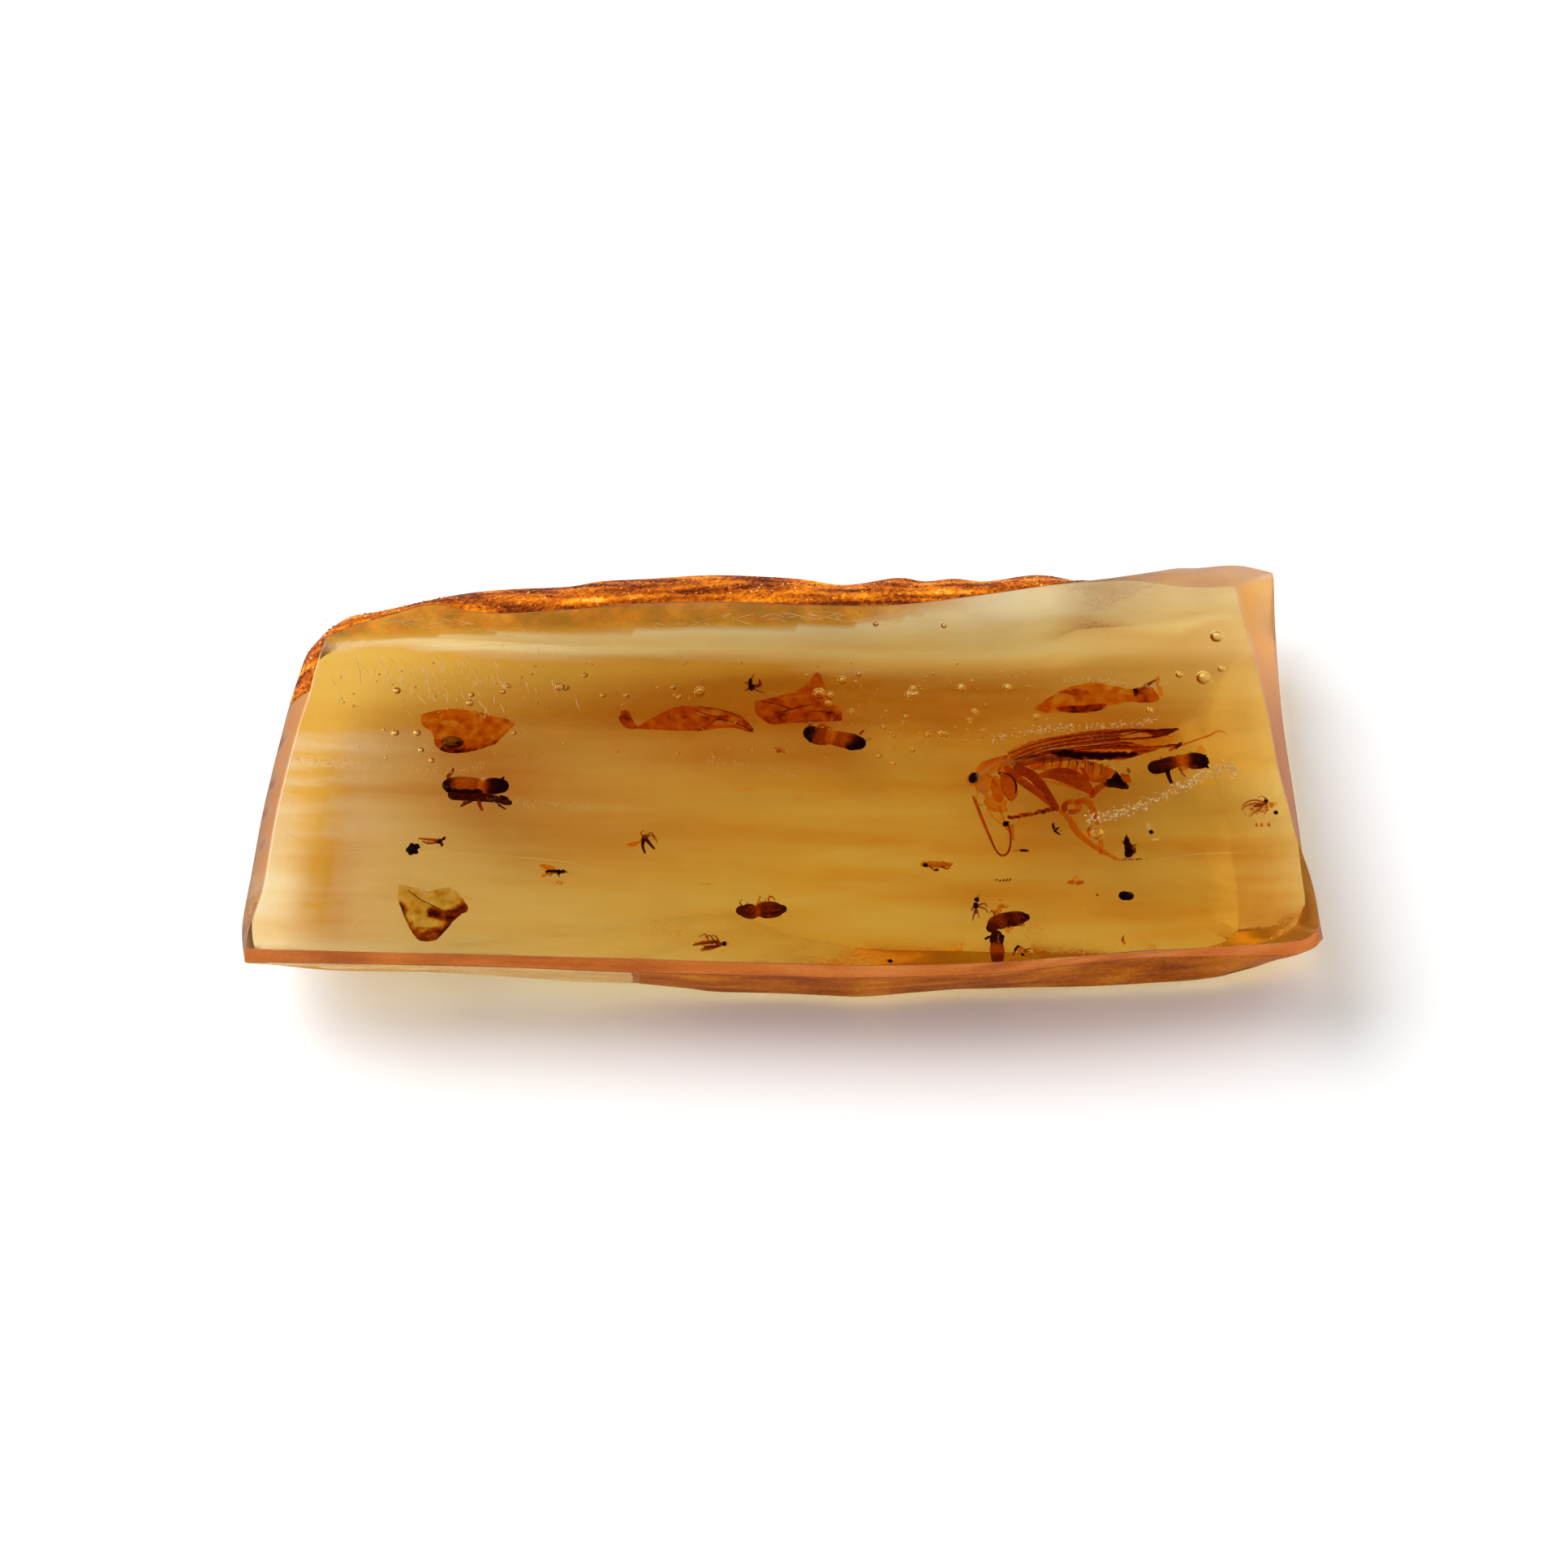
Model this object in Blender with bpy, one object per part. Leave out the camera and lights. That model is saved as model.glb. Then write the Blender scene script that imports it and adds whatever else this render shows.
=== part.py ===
# Copal with insects: a cut and polished slab of clear fossil resin, with a cockroach,
# pinhole borer beetles, small insects and leaf fragments sealed inside it.
#
# The slab rests on the flat of its keel. +X runs along its length, +Y away from the thin
# ground front edge, +Z up through the polished face. Lengths below are in millimetres.

import math

import bmesh
import bpy
from mathutils import Euler, Matrix, Vector, noise

MM = 0.001
RESIN_IOR = 1.54

# The polished face, the plane that parts the copal for its pockets, and the clearances
FACE_HEIGHT = 10.5
PARTING_HEIGHT = 6.74
PARTING_SLOPE = -0.08
PARTING_GAP = 0.30
POCKET_CLEARANCE = 0.35

# The slab's natural roughness, on its skin only, and the seed that keeps its lumps the same
SKIN_ROUGHNESS = 0.22
SKIN_LUMP = 5.0
SKIN_SEED = 1796096573
noise.seed_set(SKIN_SEED)

# How the belly rises from the flat to the crease; 1 is straight and less than 1 is domed
BELLY_CURVE = 0.92

# How many points each run of the outline has, from the front left corner round to it again
RUNS = {"front_left": 10, "front": 18, "right": 13, "rear": 32, "shoulder": 4, "left": 10}

# Edge of the polished face
FACE_EDGE = {
    "front_left": [(-44.1, -19.9), (-37.6, -20.1), (-24.3, -20.5), (-12.0, -20.9)],
    "front": [(-12.0, -20.9), (-1.1, -21.3), (6.9, -21.5), (15.5, -21.3), (25.5, -20.5),
              (35.5, -19.7), (41.6, -19.2), (43.2, -18.6), (44.0, -17.6)],
    "right": [(44.0, -17.6), (43.9, -15.2), (43.5, -12.3), (42.7, -8.5), (42.3, -5.7),
              (41.7, -1.6), (41.2, 4.5), (40.3, 11.0), (39.7, 14.7), (39.4, 17.6)],
    "rear": [(39.4, 17.6), (35.3, 17.5), (30.9, 18.2), (27.0, 18.1), (23.7, 17.8),
             (16.5, 16.5), (9.5, 15.5), (2.4, 15.5), (-4.7, 15.8), (-11.7, 15.7),
             (-18.8, 15.0), (-25.8, 14.6), (-30.4, 15.6), (-33.8, 14.6), (-37.2, 13.3),
             (-39.6, 12.0)],
    "shoulder": [(-39.6, 12.0), (-40.2, 9.0), (-40.6, 6.0)],
    "left": [(-40.6, 6.0), (-41.5, 1.2), (-42.5, -6.5), (-43.0, -13.9), (-43.9, -17.7),
             (-44.1, -19.9)],
}

# Outermost rim: the foot of the ground front wall, of the left chamfer, of the slanting right
# side and of the crust along the rear
RIM = {
    "front_left": [(-44.4, -19.6, 8.0), (-37.8, -19.7, 8.0), (-24.4, -20.0, 8.0),
                   (-12.0, -20.6, 8.0)],
    "front": [(-12.0, -20.6, 8.0), (-1.1, -20.9, 8.0), (6.9, -21.1, 8.0), (17.7, -20.6, 8.0),
              (29.0, -19.2, 8.0), (40.5, -18.7, 7.8), (43.4, -18.1, 7.5), (44.7, -16.8, 7.2)],
    "right": [(44.7, -16.8, 7.2), (44.2, -13.5, 6.9), (43.8, -10.5, 6.5), (43.8, -7.6, 6.2),
              (43.6, -1.2, 5.7), (43.3, 6.9, 5.2), (43.4, 16.0, 4.8), (43.2, 20.9, 8.2)],
    "rear": [(43.1, 20.9, 8.2), (40.0, 21.5, 8.5), (36.4, 21.2, 8.5), (34.1, 21.1, 8.5),
             (30.0, 20.0, 8.5), (26.9, 19.5, 8.5), (22.5, 20.4, 8.5), (17.9, 19.7, 8.5),
             (15.0, 20.0, 8.5), (12.4, 19.7, 8.5), (10.0, 20.1, 8.5), (5.4, 19.3, 8.5),
             (1.1, 20.0, 8.5), (-5.9, 20.4, 8.5), (-11.7, 20.0, 8.5), (-16.1, 19.7, 8.5),
             (-19.0, 19.1, 8.5), (-24.3, 18.8, 8.5), (-28.6, 18.2, 8.5), (-34.7, 16.5, 8.5),
             (-38.0, 15.7, 8.5), (-39.9, 14.0, 8.5)],
    "shoulder": [(-39.9, 14.0, 8.5), (-41.3, 11.8, 8.6), (-42.0, 8.9, 8.6), (-42.6, 5.7, 8.6)],
    "left": [(-42.6, 5.7, 8.6), (-43.4, -0.2, 8.6), (-44.0, -5.4, 8.6), (-44.4, -10.8, 8.6),
             (-44.8, -16.5, 8.6), (-44.4, -19.6, 8.0)],
}

# Crease where the steep flank under the rim turns into the belly
CREASE = {
    "front_left": [(-43.6, -18.7, 6.5), (-38.0, -18.4, 5.8), (-31.0, -18.0, 4.9),
                   (-24.0, -17.6, 3.9), (-17.0, -17.3, 2.9), (-12.0, -17.3, 2.3)],
    "front": [(-12.0, -17.3, 2.3), (-8.0, -18.0, 2.1), (-5.4, -18.4, 2.0), (1.0, -18.5, 2.0),
              (6.8, -19.0, 2.0), (14.0, -18.6, 2.0), (22.0, -18.3, 2.0), (34.4, -17.6, 2.0),
              (38.0, -16.9, 2.0), (41.0, -15.9, 2.2), (43.0, -14.6, 2.6)],
    "right": [(43.0, -14.6, 2.6), (43.7, -12.2, 2.4), (43.6, -8.5, 2.3), (43.4, -3.5, 2.2),
              (43.0, 4.5, 2.2), (42.8, 11.5, 2.6), (42.4, 17.0, 3.6)],
    "rear": [(42.4, 17.0, 3.6), (38.0, 17.5, 3.0), (31.0, 16.5, 2.2), (26.0, 16.1, 2.0),
             (22.5, 14.7, 1.6), (16.7, 14.2, 1.5), (9.5, 14.3, 1.5), (-4.7, 14.6, 1.8),
             (-13.0, 14.4, 2.4), (-22.5, 14.3, 3.3), (-30.0, 14.4, 4.1), (-35.0, 13.9, 4.7),
             (-38.6, 12.8, 5.0)],
    "shoulder": [(-38.6, 12.8, 5.0), (-40.3, 11.4, 5.1), (-41.3, 9.0, 5.2)],
    "left": [(-41.3, 9.0, 5.2), (-42.3, 4.5, 5.5), (-43.0, -1.5, 5.9), (-43.6, -7.5, 6.2),
             (-44.0, -12.5, 6.4), (-44.0, -16.3, 6.5), (-43.6, -18.7, 6.5)],
}

# Edge of the flat that the slab rests on
REST_EDGE = {
    "front_left": [(-3.0, -13.0), (-2.0, -14.6)],
    "front": [(-2.0, -14.6), (0.5, -16.0), (4.0, -16.9), (8.0, -17.4), (14.2, -17.1),
              (27.3, -16.5), (33.4, -16.1), (36.4, -15.5), (38.0, -14.2)],
    "right": [(38.0, -14.2), (38.2, -9.5), (37.6, -3.5), (36.8, 2.5), (35.6, 7.6)],
    "rear": [(35.6, 7.6), (29.0, 8.2), (20.0, 7.8), (13.0, 7.4), (7.5, 6.6), (4.0, 5.6)],
    "shoulder": [(4.0, 5.6), (2.4, 4.6)],
    "left": [(2.4, 4.6), (1.6, 1.5), (0.4, -3.5), (-1.0, -9.0), (-3.0, -13.0)],
}

# Leaf outlines, seen from above, about the middle of each
GREEN_LEAF = [(-2.7, 2.9), (-1.6, 2.7), (-0.4, 2.0), (0.4, 2.6), (1.8, 2.4), (3.2, 0.7),
              (2.2, -0.6), (1.2, -1.8), (0.4, -3.1), (-0.5, -2.8), (-1.5, -1.8), (-2.3, 0.3)]
LEAF_SCALE = [(-3.9, 2.4), (-2.4, 2.2), (0.7, 2.3), (2.2, 1.8), (3.8, 0.7), (3.2, 0.1),
              (2.3, -1.1), (0.3, -2.2), (-1.7, -2.4), (-2.5, -1.8), (-2.7, -0.7), (-2.2, 0.3),
              (-4.1, 1.2)]
LONG_LEAF = [(-5.8, 0.8), (-4.5, 1.0), (-4.7, 0.3), (-3.9, -0.7), (-1.8, 0.6), (0.3, 1.2),
             (2.8, 1.1), (5.2, 0.3), (5.5, -0.6), (4.3, -1.0), (2.9, -1.3), (1.0, -1.8),
             (1.3, -1.2), (-5.1, -1.2), (-5.8, 0.3)]
CUT_LEAF = [(-3.8, 0.1), (-2.1, 0.3), (0.0, 1.4), (1.4, 2.9), (1.8, 2.2), (2.1, 0.9),
            (2.7, -0.8), (3.4, -1.1), (3.6, -2.2), (-1.7, -2.2), (-2.5, -2.1), (-3.4, -1.4)]
TORN_LEAF = [(-5.2, -1.0), (-4.1, 0.3), (-2.1, 1.1), (0.1, 1.3), (2.6, 0.9), (3.3, 2.0),
             (3.7, 3.0), (4.5, 2.9), (4.4, 0.9), (4.7, -0.5), (2.9, -0.7), (1.4, -1.3),
             (-1.0, -2.0), (-3.4, -2.5)]
LEAF_THICKNESS = 0.30

# Each leaf: its outline, its middle, its turn about X, Y and Z in degrees, and its colour
LEAVES = {
    "leaf_green": (GREEN_LEAF, (-29.3, -15.5, 7.9), (4, -3, 0), "8A7A22"),
    "leaf_scale": (LEAF_SCALE, (-26.9, 3.8, 6.2), (-4, 0, 0), "C8700F"),
    "leaf_long": (LONG_LEAF, (-8.4, 5.6, 6.3), (-4, 3, 0), "B8620F"),
    "leaf_cut": (CUT_LEAF, (1.3, 7.2, 6.17), (-4, -2, 0), "C26A10"),
    "leaf_torn": (TORN_LEAF, (27.6, 7.7, 6.12), (-4, 2, 0), "C47216"),
}

# Each pinhole borer: its middle, length, width, heading and pitch in degrees, and the side of
# its body that the legs are on
BORERS = {
    "pinhole_borer_right": ((33.7, 0.1, 6.8), 4.3, 1.36, 11, 4, -1),
    "pinhole_borer_centre": ((4.4, 3.0, 6.5), 4.2, 1.40, -11, -3, 1),
    "pinhole_borer_left": ((-26.2, -2.2, 6.9), 4.4, 1.50, -2, 0, -1),
    "pinhole_borer_waisted": ((-1.9, -15.0, 7.95), 3.5, 1.30, 3, 0, 1),
    "pinhole_borer_crossing": ((18.5, -16.2, 8.1), 3.2, 1.30, 14, 0, -1),
    "pinhole_borer_front": ((17.7, -18.6, 8.35), 2.3, 1.10, -88, 0, -1),
}

# Each small insect: its middle, length, width, heading in degrees, wing length and leg reach
SMALL_INSECTS = {
    "midge": ((-11.5, -8.1, 7.4), 1.1, 0.40, 60, 1.0, 1.0),
    "gnat": ((-19.1, -11.1, 7.65), 1.4, 0.46, -6, 0.9, 0.5),
    "winged_gnat": ((-5.9, -18.4, 8.2), 1.7, 0.56, 8, 1.7, 0.6),
    "gall_midge": ((-2.9, 8.7, 6.05), 1.4, 0.60, 80, 1.2, 0.9),
    "ant": ((15.9, -14.3, 7.9), 1.5, 0.52, 78, 0.0, 1.0),
    "orange_gnat": ((12.8, -10.6, 7.6), 1.8, 0.52, 2, 1.2, 0.4),
    "grub": ((28.9, -8.8, 7.45), 1.7, 0.80, -75, 0.0, 0.3),
    "weevil": ((20.4, -18.9, 8.3), 1.2, 0.62, -38, 0.7, 0.4),
    "hairy_bug": ((39.9, -4.3, 7.1), 1.9, 0.80, 4, 1.0, 1.1),
    "thin_fly": ((-29.3, -8.0, 7.4), 1.5, 0.38, 6, 1.1, 0.4),
}

COCKROACH_PLACE = (24.4, -0.6, 6.9)

# Egg-shaped pieces: their middle, half sizes and heading in degrees
OVAL_BEETLE = ((-28.5, 2.4, 7.05), (0.98, 0.62, 0.45), -4)
SEED = ((28.4, -13.7, 7.85), (0.68, 0.46, 0.46), -4)

# Pellet of three lobes: its middle, then each lobe's middle in it and half sizes
PELLET_PLACE = (-31.1, -8.9, 7.45)
PELLET_LOBES = [((0.0, 0.0, 0.0), (0.50, 0.48, 0.42)), ((0.35, 0.3, 0.05), (0.28, 0.28, 0.28)),
                ((-0.3, -0.3, 0.0), (0.30, 0.28, 0.26))]

# Cockroach, lying on its side with its back to +Y and its head to -X, about its middle
FORE_WING = [(-5.3, 0.9), (-5.2, 1.6), (-3.8, 2.25), (-1.9, 2.85), (0.0, 3.35), (2.4, 3.7),
             (5.5, 3.95), (9.2, 4.05), (8.2, 3.5), (6.2, 3.0), (4.4, 2.7), (2.4, 2.45),
             (0.0, 2.0), (-1.9, 1.6), (-3.8, 0.9)]
HIND_WING = [(-4.2, 0.5), (-3.8, 1.3), (0.0, 2.3), (4.0, 2.6), (9.3, 2.6), (9.4, 2.35),
             (6.9, 1.9), (5.3, 1.2), (3.8, 0.7), (0.0, 0.4)]
WING_THICKNESS = 0.26
ANTENNA = [(-8.0, -1.5), (-8.1, -3.4), (-7.5, -4.9), (-6.9, -6.5), (-6.4, -8.1), (-5.8, -8.7),
           (-5.3, -8.4), (-5.05, -7.4), (-5.2, -6.2), (-5.7, -5.2)]


def linear(hex_colour):
    # sRGB hex to the linear values a shader takes
    channels = [int(hex_colour[i:i + 2], 16) / 255 for i in (0, 2, 4)]
    return [c / 12.92 if c <= 0.04045 else ((c + 0.055) / 1.055) ** 2.4 for c in channels] + [1.0]


def finish(name, hex_colour, roughness, transmission=0.0):
    material = bpy.data.materials.new(name)
    material.use_nodes = True
    shader = material.node_tree.nodes["Principled BSDF"]
    shader.inputs["Base Color"].default_value = linear(hex_colour)
    shader.inputs["Roughness"].default_value = roughness
    shader.inputs["Metallic"].default_value = 0.0
    shader.inputs["Transmission Weight"].default_value = transmission
    shader.inputs["IOR"].default_value = RESIN_IOR
    material.diffuse_color = linear(hex_colour)
    return material


def clear_scene():
    for old in list(bpy.data.objects):
        bpy.data.objects.remove(old, do_unlink=True)


def new_collection(name):
    collection = bpy.data.collections.new(name)
    bpy.context.scene.collection.children.link(collection)
    return collection


def new_object(name, mesh, collection):
    thing = bpy.data.objects.new(name, mesh)
    collection.objects.link(thing)
    return thing


def mesh_from(bm, name):
    mesh = bpy.data.meshes.new(name)
    bm.to_mesh(mesh)
    bm.free()
    return mesh


def run_points(points, count):
    # count evenly spaced points on a smooth curve through the design points, end left out
    steps = 8
    knots = [Vector(p) for p in points]
    curve = []
    for i in range(len(knots) - 1):
        before = knots[max(i - 1, 0)]
        start = knots[i]
        end = knots[i + 1]
        after = knots[min(i + 2, len(knots) - 1)]
        reach = (end - start).length
        leaving = (end - before).normalized() * reach
        arriving = (after - start).normalized() * reach
        for step in range(steps):
            t = step / steps
            curve.append(start * (2 * t ** 3 - 3 * t ** 2 + 1) + leaving * (t ** 3 - 2 * t ** 2 + t)
                         + end * (3 * t ** 2 - 2 * t ** 3) + arriving * (t ** 3 - t ** 2))
    curve.append(knots[-1])
    lengths = [0.0]
    for a, b in zip(curve, curve[1:]):
        lengths.append(lengths[-1] + (b - a).length)
    result = []
    piece = 0
    for i in range(count):
        target = lengths[-1] * i / count
        while lengths[piece + 1] < target:
            piece += 1
        share = (target - lengths[piece]) / (lengths[piece + 1] - lengths[piece])
        result.append(curve[piece].lerp(curve[piece + 1], share))
    return result


def ring(edge, height=None):
    points = []
    for run, count in RUNS.items():
        design = [p if height is None else (p[0], p[1], height) for p in edge[run]]
        points += run_points(design, count)
    return points


def between(outer, inner, share, bulge=0.0, power=1.0):
    # a ring part of the way between two others; bulge lifts it by a share of the run across
    points = []
    for a, b in zip(outer, inner):
        point = a.lerp(b, share)
        point.z = b.z + (a.z - b.z) * (1 - share) ** power
        point.z += bulge * math.hypot(a.x - b.x, a.y - b.y)
        points.append(point)
    return points


def roughened(points, amount):
    moved = []
    for point in points:
        lump = noise.noise_vector(point / SKIN_LUMP)
        ripple = noise.noise_vector(point / (0.4 * SKIN_LUMP))
        moved.append(point + (lump + 0.4 * ripple) * amount)
    return moved


def slab_mesh():
    # Rings from the polished face, over the rim, down the flank and across the belly to the flat
    face = ring(FACE_EDGE, FACE_HEIGHT)
    rim = ring(RIM)
    crease = ring(CREASE)
    rest = ring(REST_EDGE, 0.0)
    rings = [face, between(face, rim, 0.5, bulge=0.07), rim]
    for share in (0.3, 0.65):
        rings.append(roughened(between(rim, crease, share, bulge=-0.05), SKIN_ROUGHNESS))
    rings.append(crease)
    for share in (0.22, 0.48, 0.75):
        rings.append(roughened(between(crease, rest, share, power=BELLY_CURVE), 0.5 * SKIN_ROUGHNESS))
    rings.append(rest)

    bm = bmesh.new()
    loops = [[bm.verts.new(point * MM) for point in points] for points in rings]
    count = len(loops[0])
    for upper, lower in zip(loops, loops[1:]):
        for i in range(count):
            j = (i + 1) % count
            bm.faces.new((upper[i], upper[j], lower[j], lower[i]))
    flats = [bm.faces.new(loops[0]), bm.faces.new(loops[-1])]
    bmesh.ops.poke(bm, faces=flats)
    bmesh.ops.recalc_face_normals(bm, faces=bm.faces)
    return mesh_from(bm, "slab")


def as_mesh(curve_object):
    # a curve made a mesh, with its loose caps welded on
    depsgraph = bpy.context.evaluated_depsgraph_get()
    mesh = bpy.data.meshes.new_from_object(curve_object.evaluated_get(depsgraph))
    bm = bmesh.new()
    bm.from_mesh(mesh)
    bmesh.ops.remove_doubles(bm, verts=bm.verts, dist=0.002 * MM)
    bmesh.ops.recalc_face_normals(bm, faces=bm.faces)
    bm.to_mesh(mesh)
    bm.free()
    solid = new_object(curve_object.name + "_solid", mesh, curve_object.users_collection[0])
    solid.matrix_world = curve_object.matrix_world
    bpy.data.objects.remove(curve_object, do_unlink=True)
    return solid


def limb(points, radii, workshop, resolution=0):
    # a leg, antenna or turned body: a tube of changing radius along its points
    curve = bpy.data.curves.new("limb", "CURVE")
    curve.dimensions = "3D"
    curve.bevel_depth = MM
    curve.bevel_resolution = resolution
    curve.use_fill_caps = True
    spline = curve.splines.new("POLY")
    spline.points.add(len(points) - 1)
    for point, place, radius in zip(spline.points, points, radii):
        point.co = (place[0] * MM, place[1] * MM, place[2] * MM, 1.0)
        point.radius = radius
    return as_mesh(new_object("limb", curve, workshop))


def plate(outline, thickness, workshop, turn=(0, 0, 0), lift=0.0):
    # a leaf or wing: a flat outline with thickness
    curve = bpy.data.curves.new("plate", "CURVE")
    curve.dimensions = "2D"
    curve.fill_mode = "BOTH"
    curve.extrude = 0.5 * thickness * MM
    spline = curve.splines.new("POLY")
    spline.points.add(len(outline) - 1)
    spline.use_cyclic_u = True
    for point, place in zip(spline.points, outline):
        point.co = (place[0] * MM, place[1] * MM, 0.0, 1.0)
    solid = as_mesh(new_object("plate", curve, workshop))
    angles = Euler([math.radians(a) for a in turn])
    solid.data.transform(Matrix.Translation((0, 0, lift * MM)) @ angles.to_matrix().to_4x4())
    return solid


def ball(centre, radii, workshop, turn=0.0, around=8, rings=6):
    # an egg-shaped body part, turned about Z
    bm = bmesh.new()
    bmesh.ops.create_uvsphere(bm, u_segments=around, v_segments=rings, radius=MM)
    shape = Matrix.Translation(Vector(centre) * MM)
    shape = shape @ Matrix.Rotation(math.radians(turn), 4, "Z") @ Matrix.Diagonal((*radii, 1.0))
    bmesh.ops.transform(bm, matrix=shape, verts=bm.verts)
    return new_object("ball", mesh_from(bm, "ball"), workshop)


def fuse(name, pieces, collection, material, workshop):
    # body parts, legs and wings united in one solid
    body = pieces[0]
    others = new_collection(name + "_others")
    for piece in pieces[1:]:
        workshop.objects.unlink(piece)
        others.objects.link(piece)
    union = body.modifiers.new("union", "BOOLEAN")
    union.operation = "UNION"
    union.operand_type = "COLLECTION"
    union.collection = others
    union.solver = "EXACT"
    bpy.context.view_layer.update()
    depsgraph = bpy.context.evaluated_depsgraph_get()
    mesh = bpy.data.meshes.new_from_object(body.evaluated_get(depsgraph))
    mesh.name = name
    mesh.materials.clear()
    mesh.materials.append(material)
    for piece in pieces:
        bpy.data.objects.remove(piece, do_unlink=True)
    bpy.data.collections.remove(others)
    return new_object(name, mesh, collection)


def place(thing, centre, turn=(0, 0, 0)):
    thing.location = Vector(centre) * MM
    thing.rotation_euler = Euler([math.radians(a) for a in turn])
    return thing


def cockroach(collection, material, workshop):
    pieces = [
        ball((0.9, -0.1, 0.0), (4.2, 1.15, 1.55), workshop, turn=-4, around=10, rings=8),
        ball((-4.1, 0.2, 0.0), (2.6, 1.35, 1.60), workshop, turn=20, around=10, rings=6),
        ball((-6.7, 0.45, 0.0), (1.75, 0.50, 1.70), workshop, turn=28, around=10, rings=6),
        ball((-7.7, -1.3, 0.0), (0.75, 1.05, 0.90), workshop, turn=-12),
        ball((-8.2, -1.0, 0.45), (0.50, 0.50, 0.45), workshop),
        ball((-6.9, -2.9, 0.1), (1.20, 0.95, 0.65), workshop, turn=-30),
        ball((-0.4, -3.9, 0.4), (0.80, 0.72, 0.60), workshop),
        ball((-5.7, -5.4, 0.0), (0.36, 0.36, 0.34), workshop, around=6, rings=5),
        ball((2.1, -6.3, -0.2), (0.55, 0.62, 0.50), workshop, around=6, rings=5),
        plate(FORE_WING, WING_THICKNESS, workshop, turn=(7, 0, 0), lift=0.95),
        plate(HIND_WING, WING_THICKNESS, workshop, turn=(-5, 0, 0), lift=-0.55),
        limb([(-6.0, 0.2, 0.5), (-5.3, -1.6, 0.8), (-5.0, -3.1, 0.7)], (0.6, 0.75, 0.4), workshop, 1),
        limb([(-5.0, -0.4, 0.9), (-3.0, -1.9, 1.1), (-1.2, -3.8, 0.7)], (0.4, 0.5, 0.28), workshop, 1),
        limb([(-4.2, 0.4, -0.9), (-2.6, -1.3, -1.0), (-1.0, -3.7, -0.1)], (0.5, 0.55, 0.3), workshop, 1),
        limb([(-2.7, -0.4, 1.2), (-0.9, -0.9, 1.4), (0.7, -1.6, 1.2), (1.9, -2.7, 0.6)],
             (0.35, 0.8, 0.75, 0.3), workshop, 1),
        limb([(0.0, -3.5, 0.3), (1.0, -3.2, 0.2), (1.7, -3.9, 0.1), (2.0, -6.0, -0.2)],
             (0.4, 0.6, 0.55, 0.3), workshop, 1),
        limb([(1.7, -2.5, 0.5), (1.5, -3.4, 0.2)], (0.3, 0.35), workshop, 1),
        limb([(-0.7, -4.3, 0.4), (0.6, -6.5, 0.1), (2.1, -7.9, -0.1), (3.6, -9.1, -0.3)],
             (0.34, 0.30, 0.34, 0.12), workshop, 1),
        limb([(-0.6, -4.0, 0.4), (-2.8, -4.5, 0.2), (-4.9, -5.0, 0.1)], (0.18, 0.2, 0.18), workshop),
        limb([(3.9, -0.3, 0.2), (4.6, -1.0, 0.0), (5.0, -1.8, -0.2)], (0.7, 0.5, 0.2), workshop, 1),
        limb([(x, y, -0.1) for x, y in ANTENNA], [0.16] * 4 + [0.13] * (len(ANTENNA) - 4), workshop),
        limb([(9.1, 2.45, -0.6), (11.6, 3.7, -0.5), (12.6, 4.3, -0.5), (13.1, 4.1, -0.5)],
             (0.22, 0.13, 0.12, 0.08), workshop),
    ]
    body = fuse("cockroach", pieces, collection, material, workshop)
    return place(body, COCKROACH_PLACE)


def pinhole_borer(name, length, width, leg_side, collection, material, workshop):
    # A cylinder of a beetle: head, pronotum, a waist, and wing cases cut off bluntly behind
    half = 0.5 * length
    radius = 0.5 * width
    profile = ((-1.0, 0.55), (-0.90, 0.86), (-0.62, 0.97), (-0.30, 0.98), (-0.22, 0.86),
               (-0.12, 0.98), (0.55, 1.0), (0.88, 0.90), (1.0, 0.62))
    pieces = [limb([(half * x, 0, 0) for x, _ in profile], [radius * r for _, r in profile],
                   workshop, 2)]
    for foot, along in enumerate((-0.70, -0.08, 0.24)):
        for up in (-1, 1):
            root = (half * along, leg_side * 0.6 * radius, up * 0.35 * radius)
            tip = (half * along + 0.12 * up, leg_side * (1.75 + 0.1 * foot) * radius, up * 0.4 * radius)
            pieces.append(limb([root, tip], (0.15, 0.07), workshop))
    return fuse(name, pieces, collection, material, workshop)


def small_insect(name, length, width, wing, reach, collection, material, workshop):
    # abdomen and foreparts in a row along X, legs on both sides, two wings laid back
    radius = 0.5 * width
    pieces = [
        ball((-0.20 * length, 0, 0), (0.36 * length, radius, radius), workshop, around=6, rings=4),
        ball((0.25 * length, 0, 0), (0.26 * length, 0.95 * radius, radius), workshop, around=6, rings=4),
    ]
    if reach:
        for side in (-1, 1):
            for lean in (-1, 0.9):
                root = (0.2 * length, side * 0.4 * radius, -0.02)
                tip = (0.2 * length + 0.45 * lean * reach, side * (radius + 0.75 * reach), -0.1)
                pieces.append(limb([root, tip], (0.085, 0.05), workshop))
    if wing:
        outline = [(0.25 * length, 0.08), (-0.5 * wing, 0.34), (-wing, 0.22), (-0.9 * wing, 0.02),
                   (0.2 * length, -0.10)]
        for side in (-1, 1):
            pieces.append(plate(outline, 0.10, workshop, turn=(6 * side, 0, 16 * side), lift=0.12))
    return fuse(name, pieces, collection, material, workshop)


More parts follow.
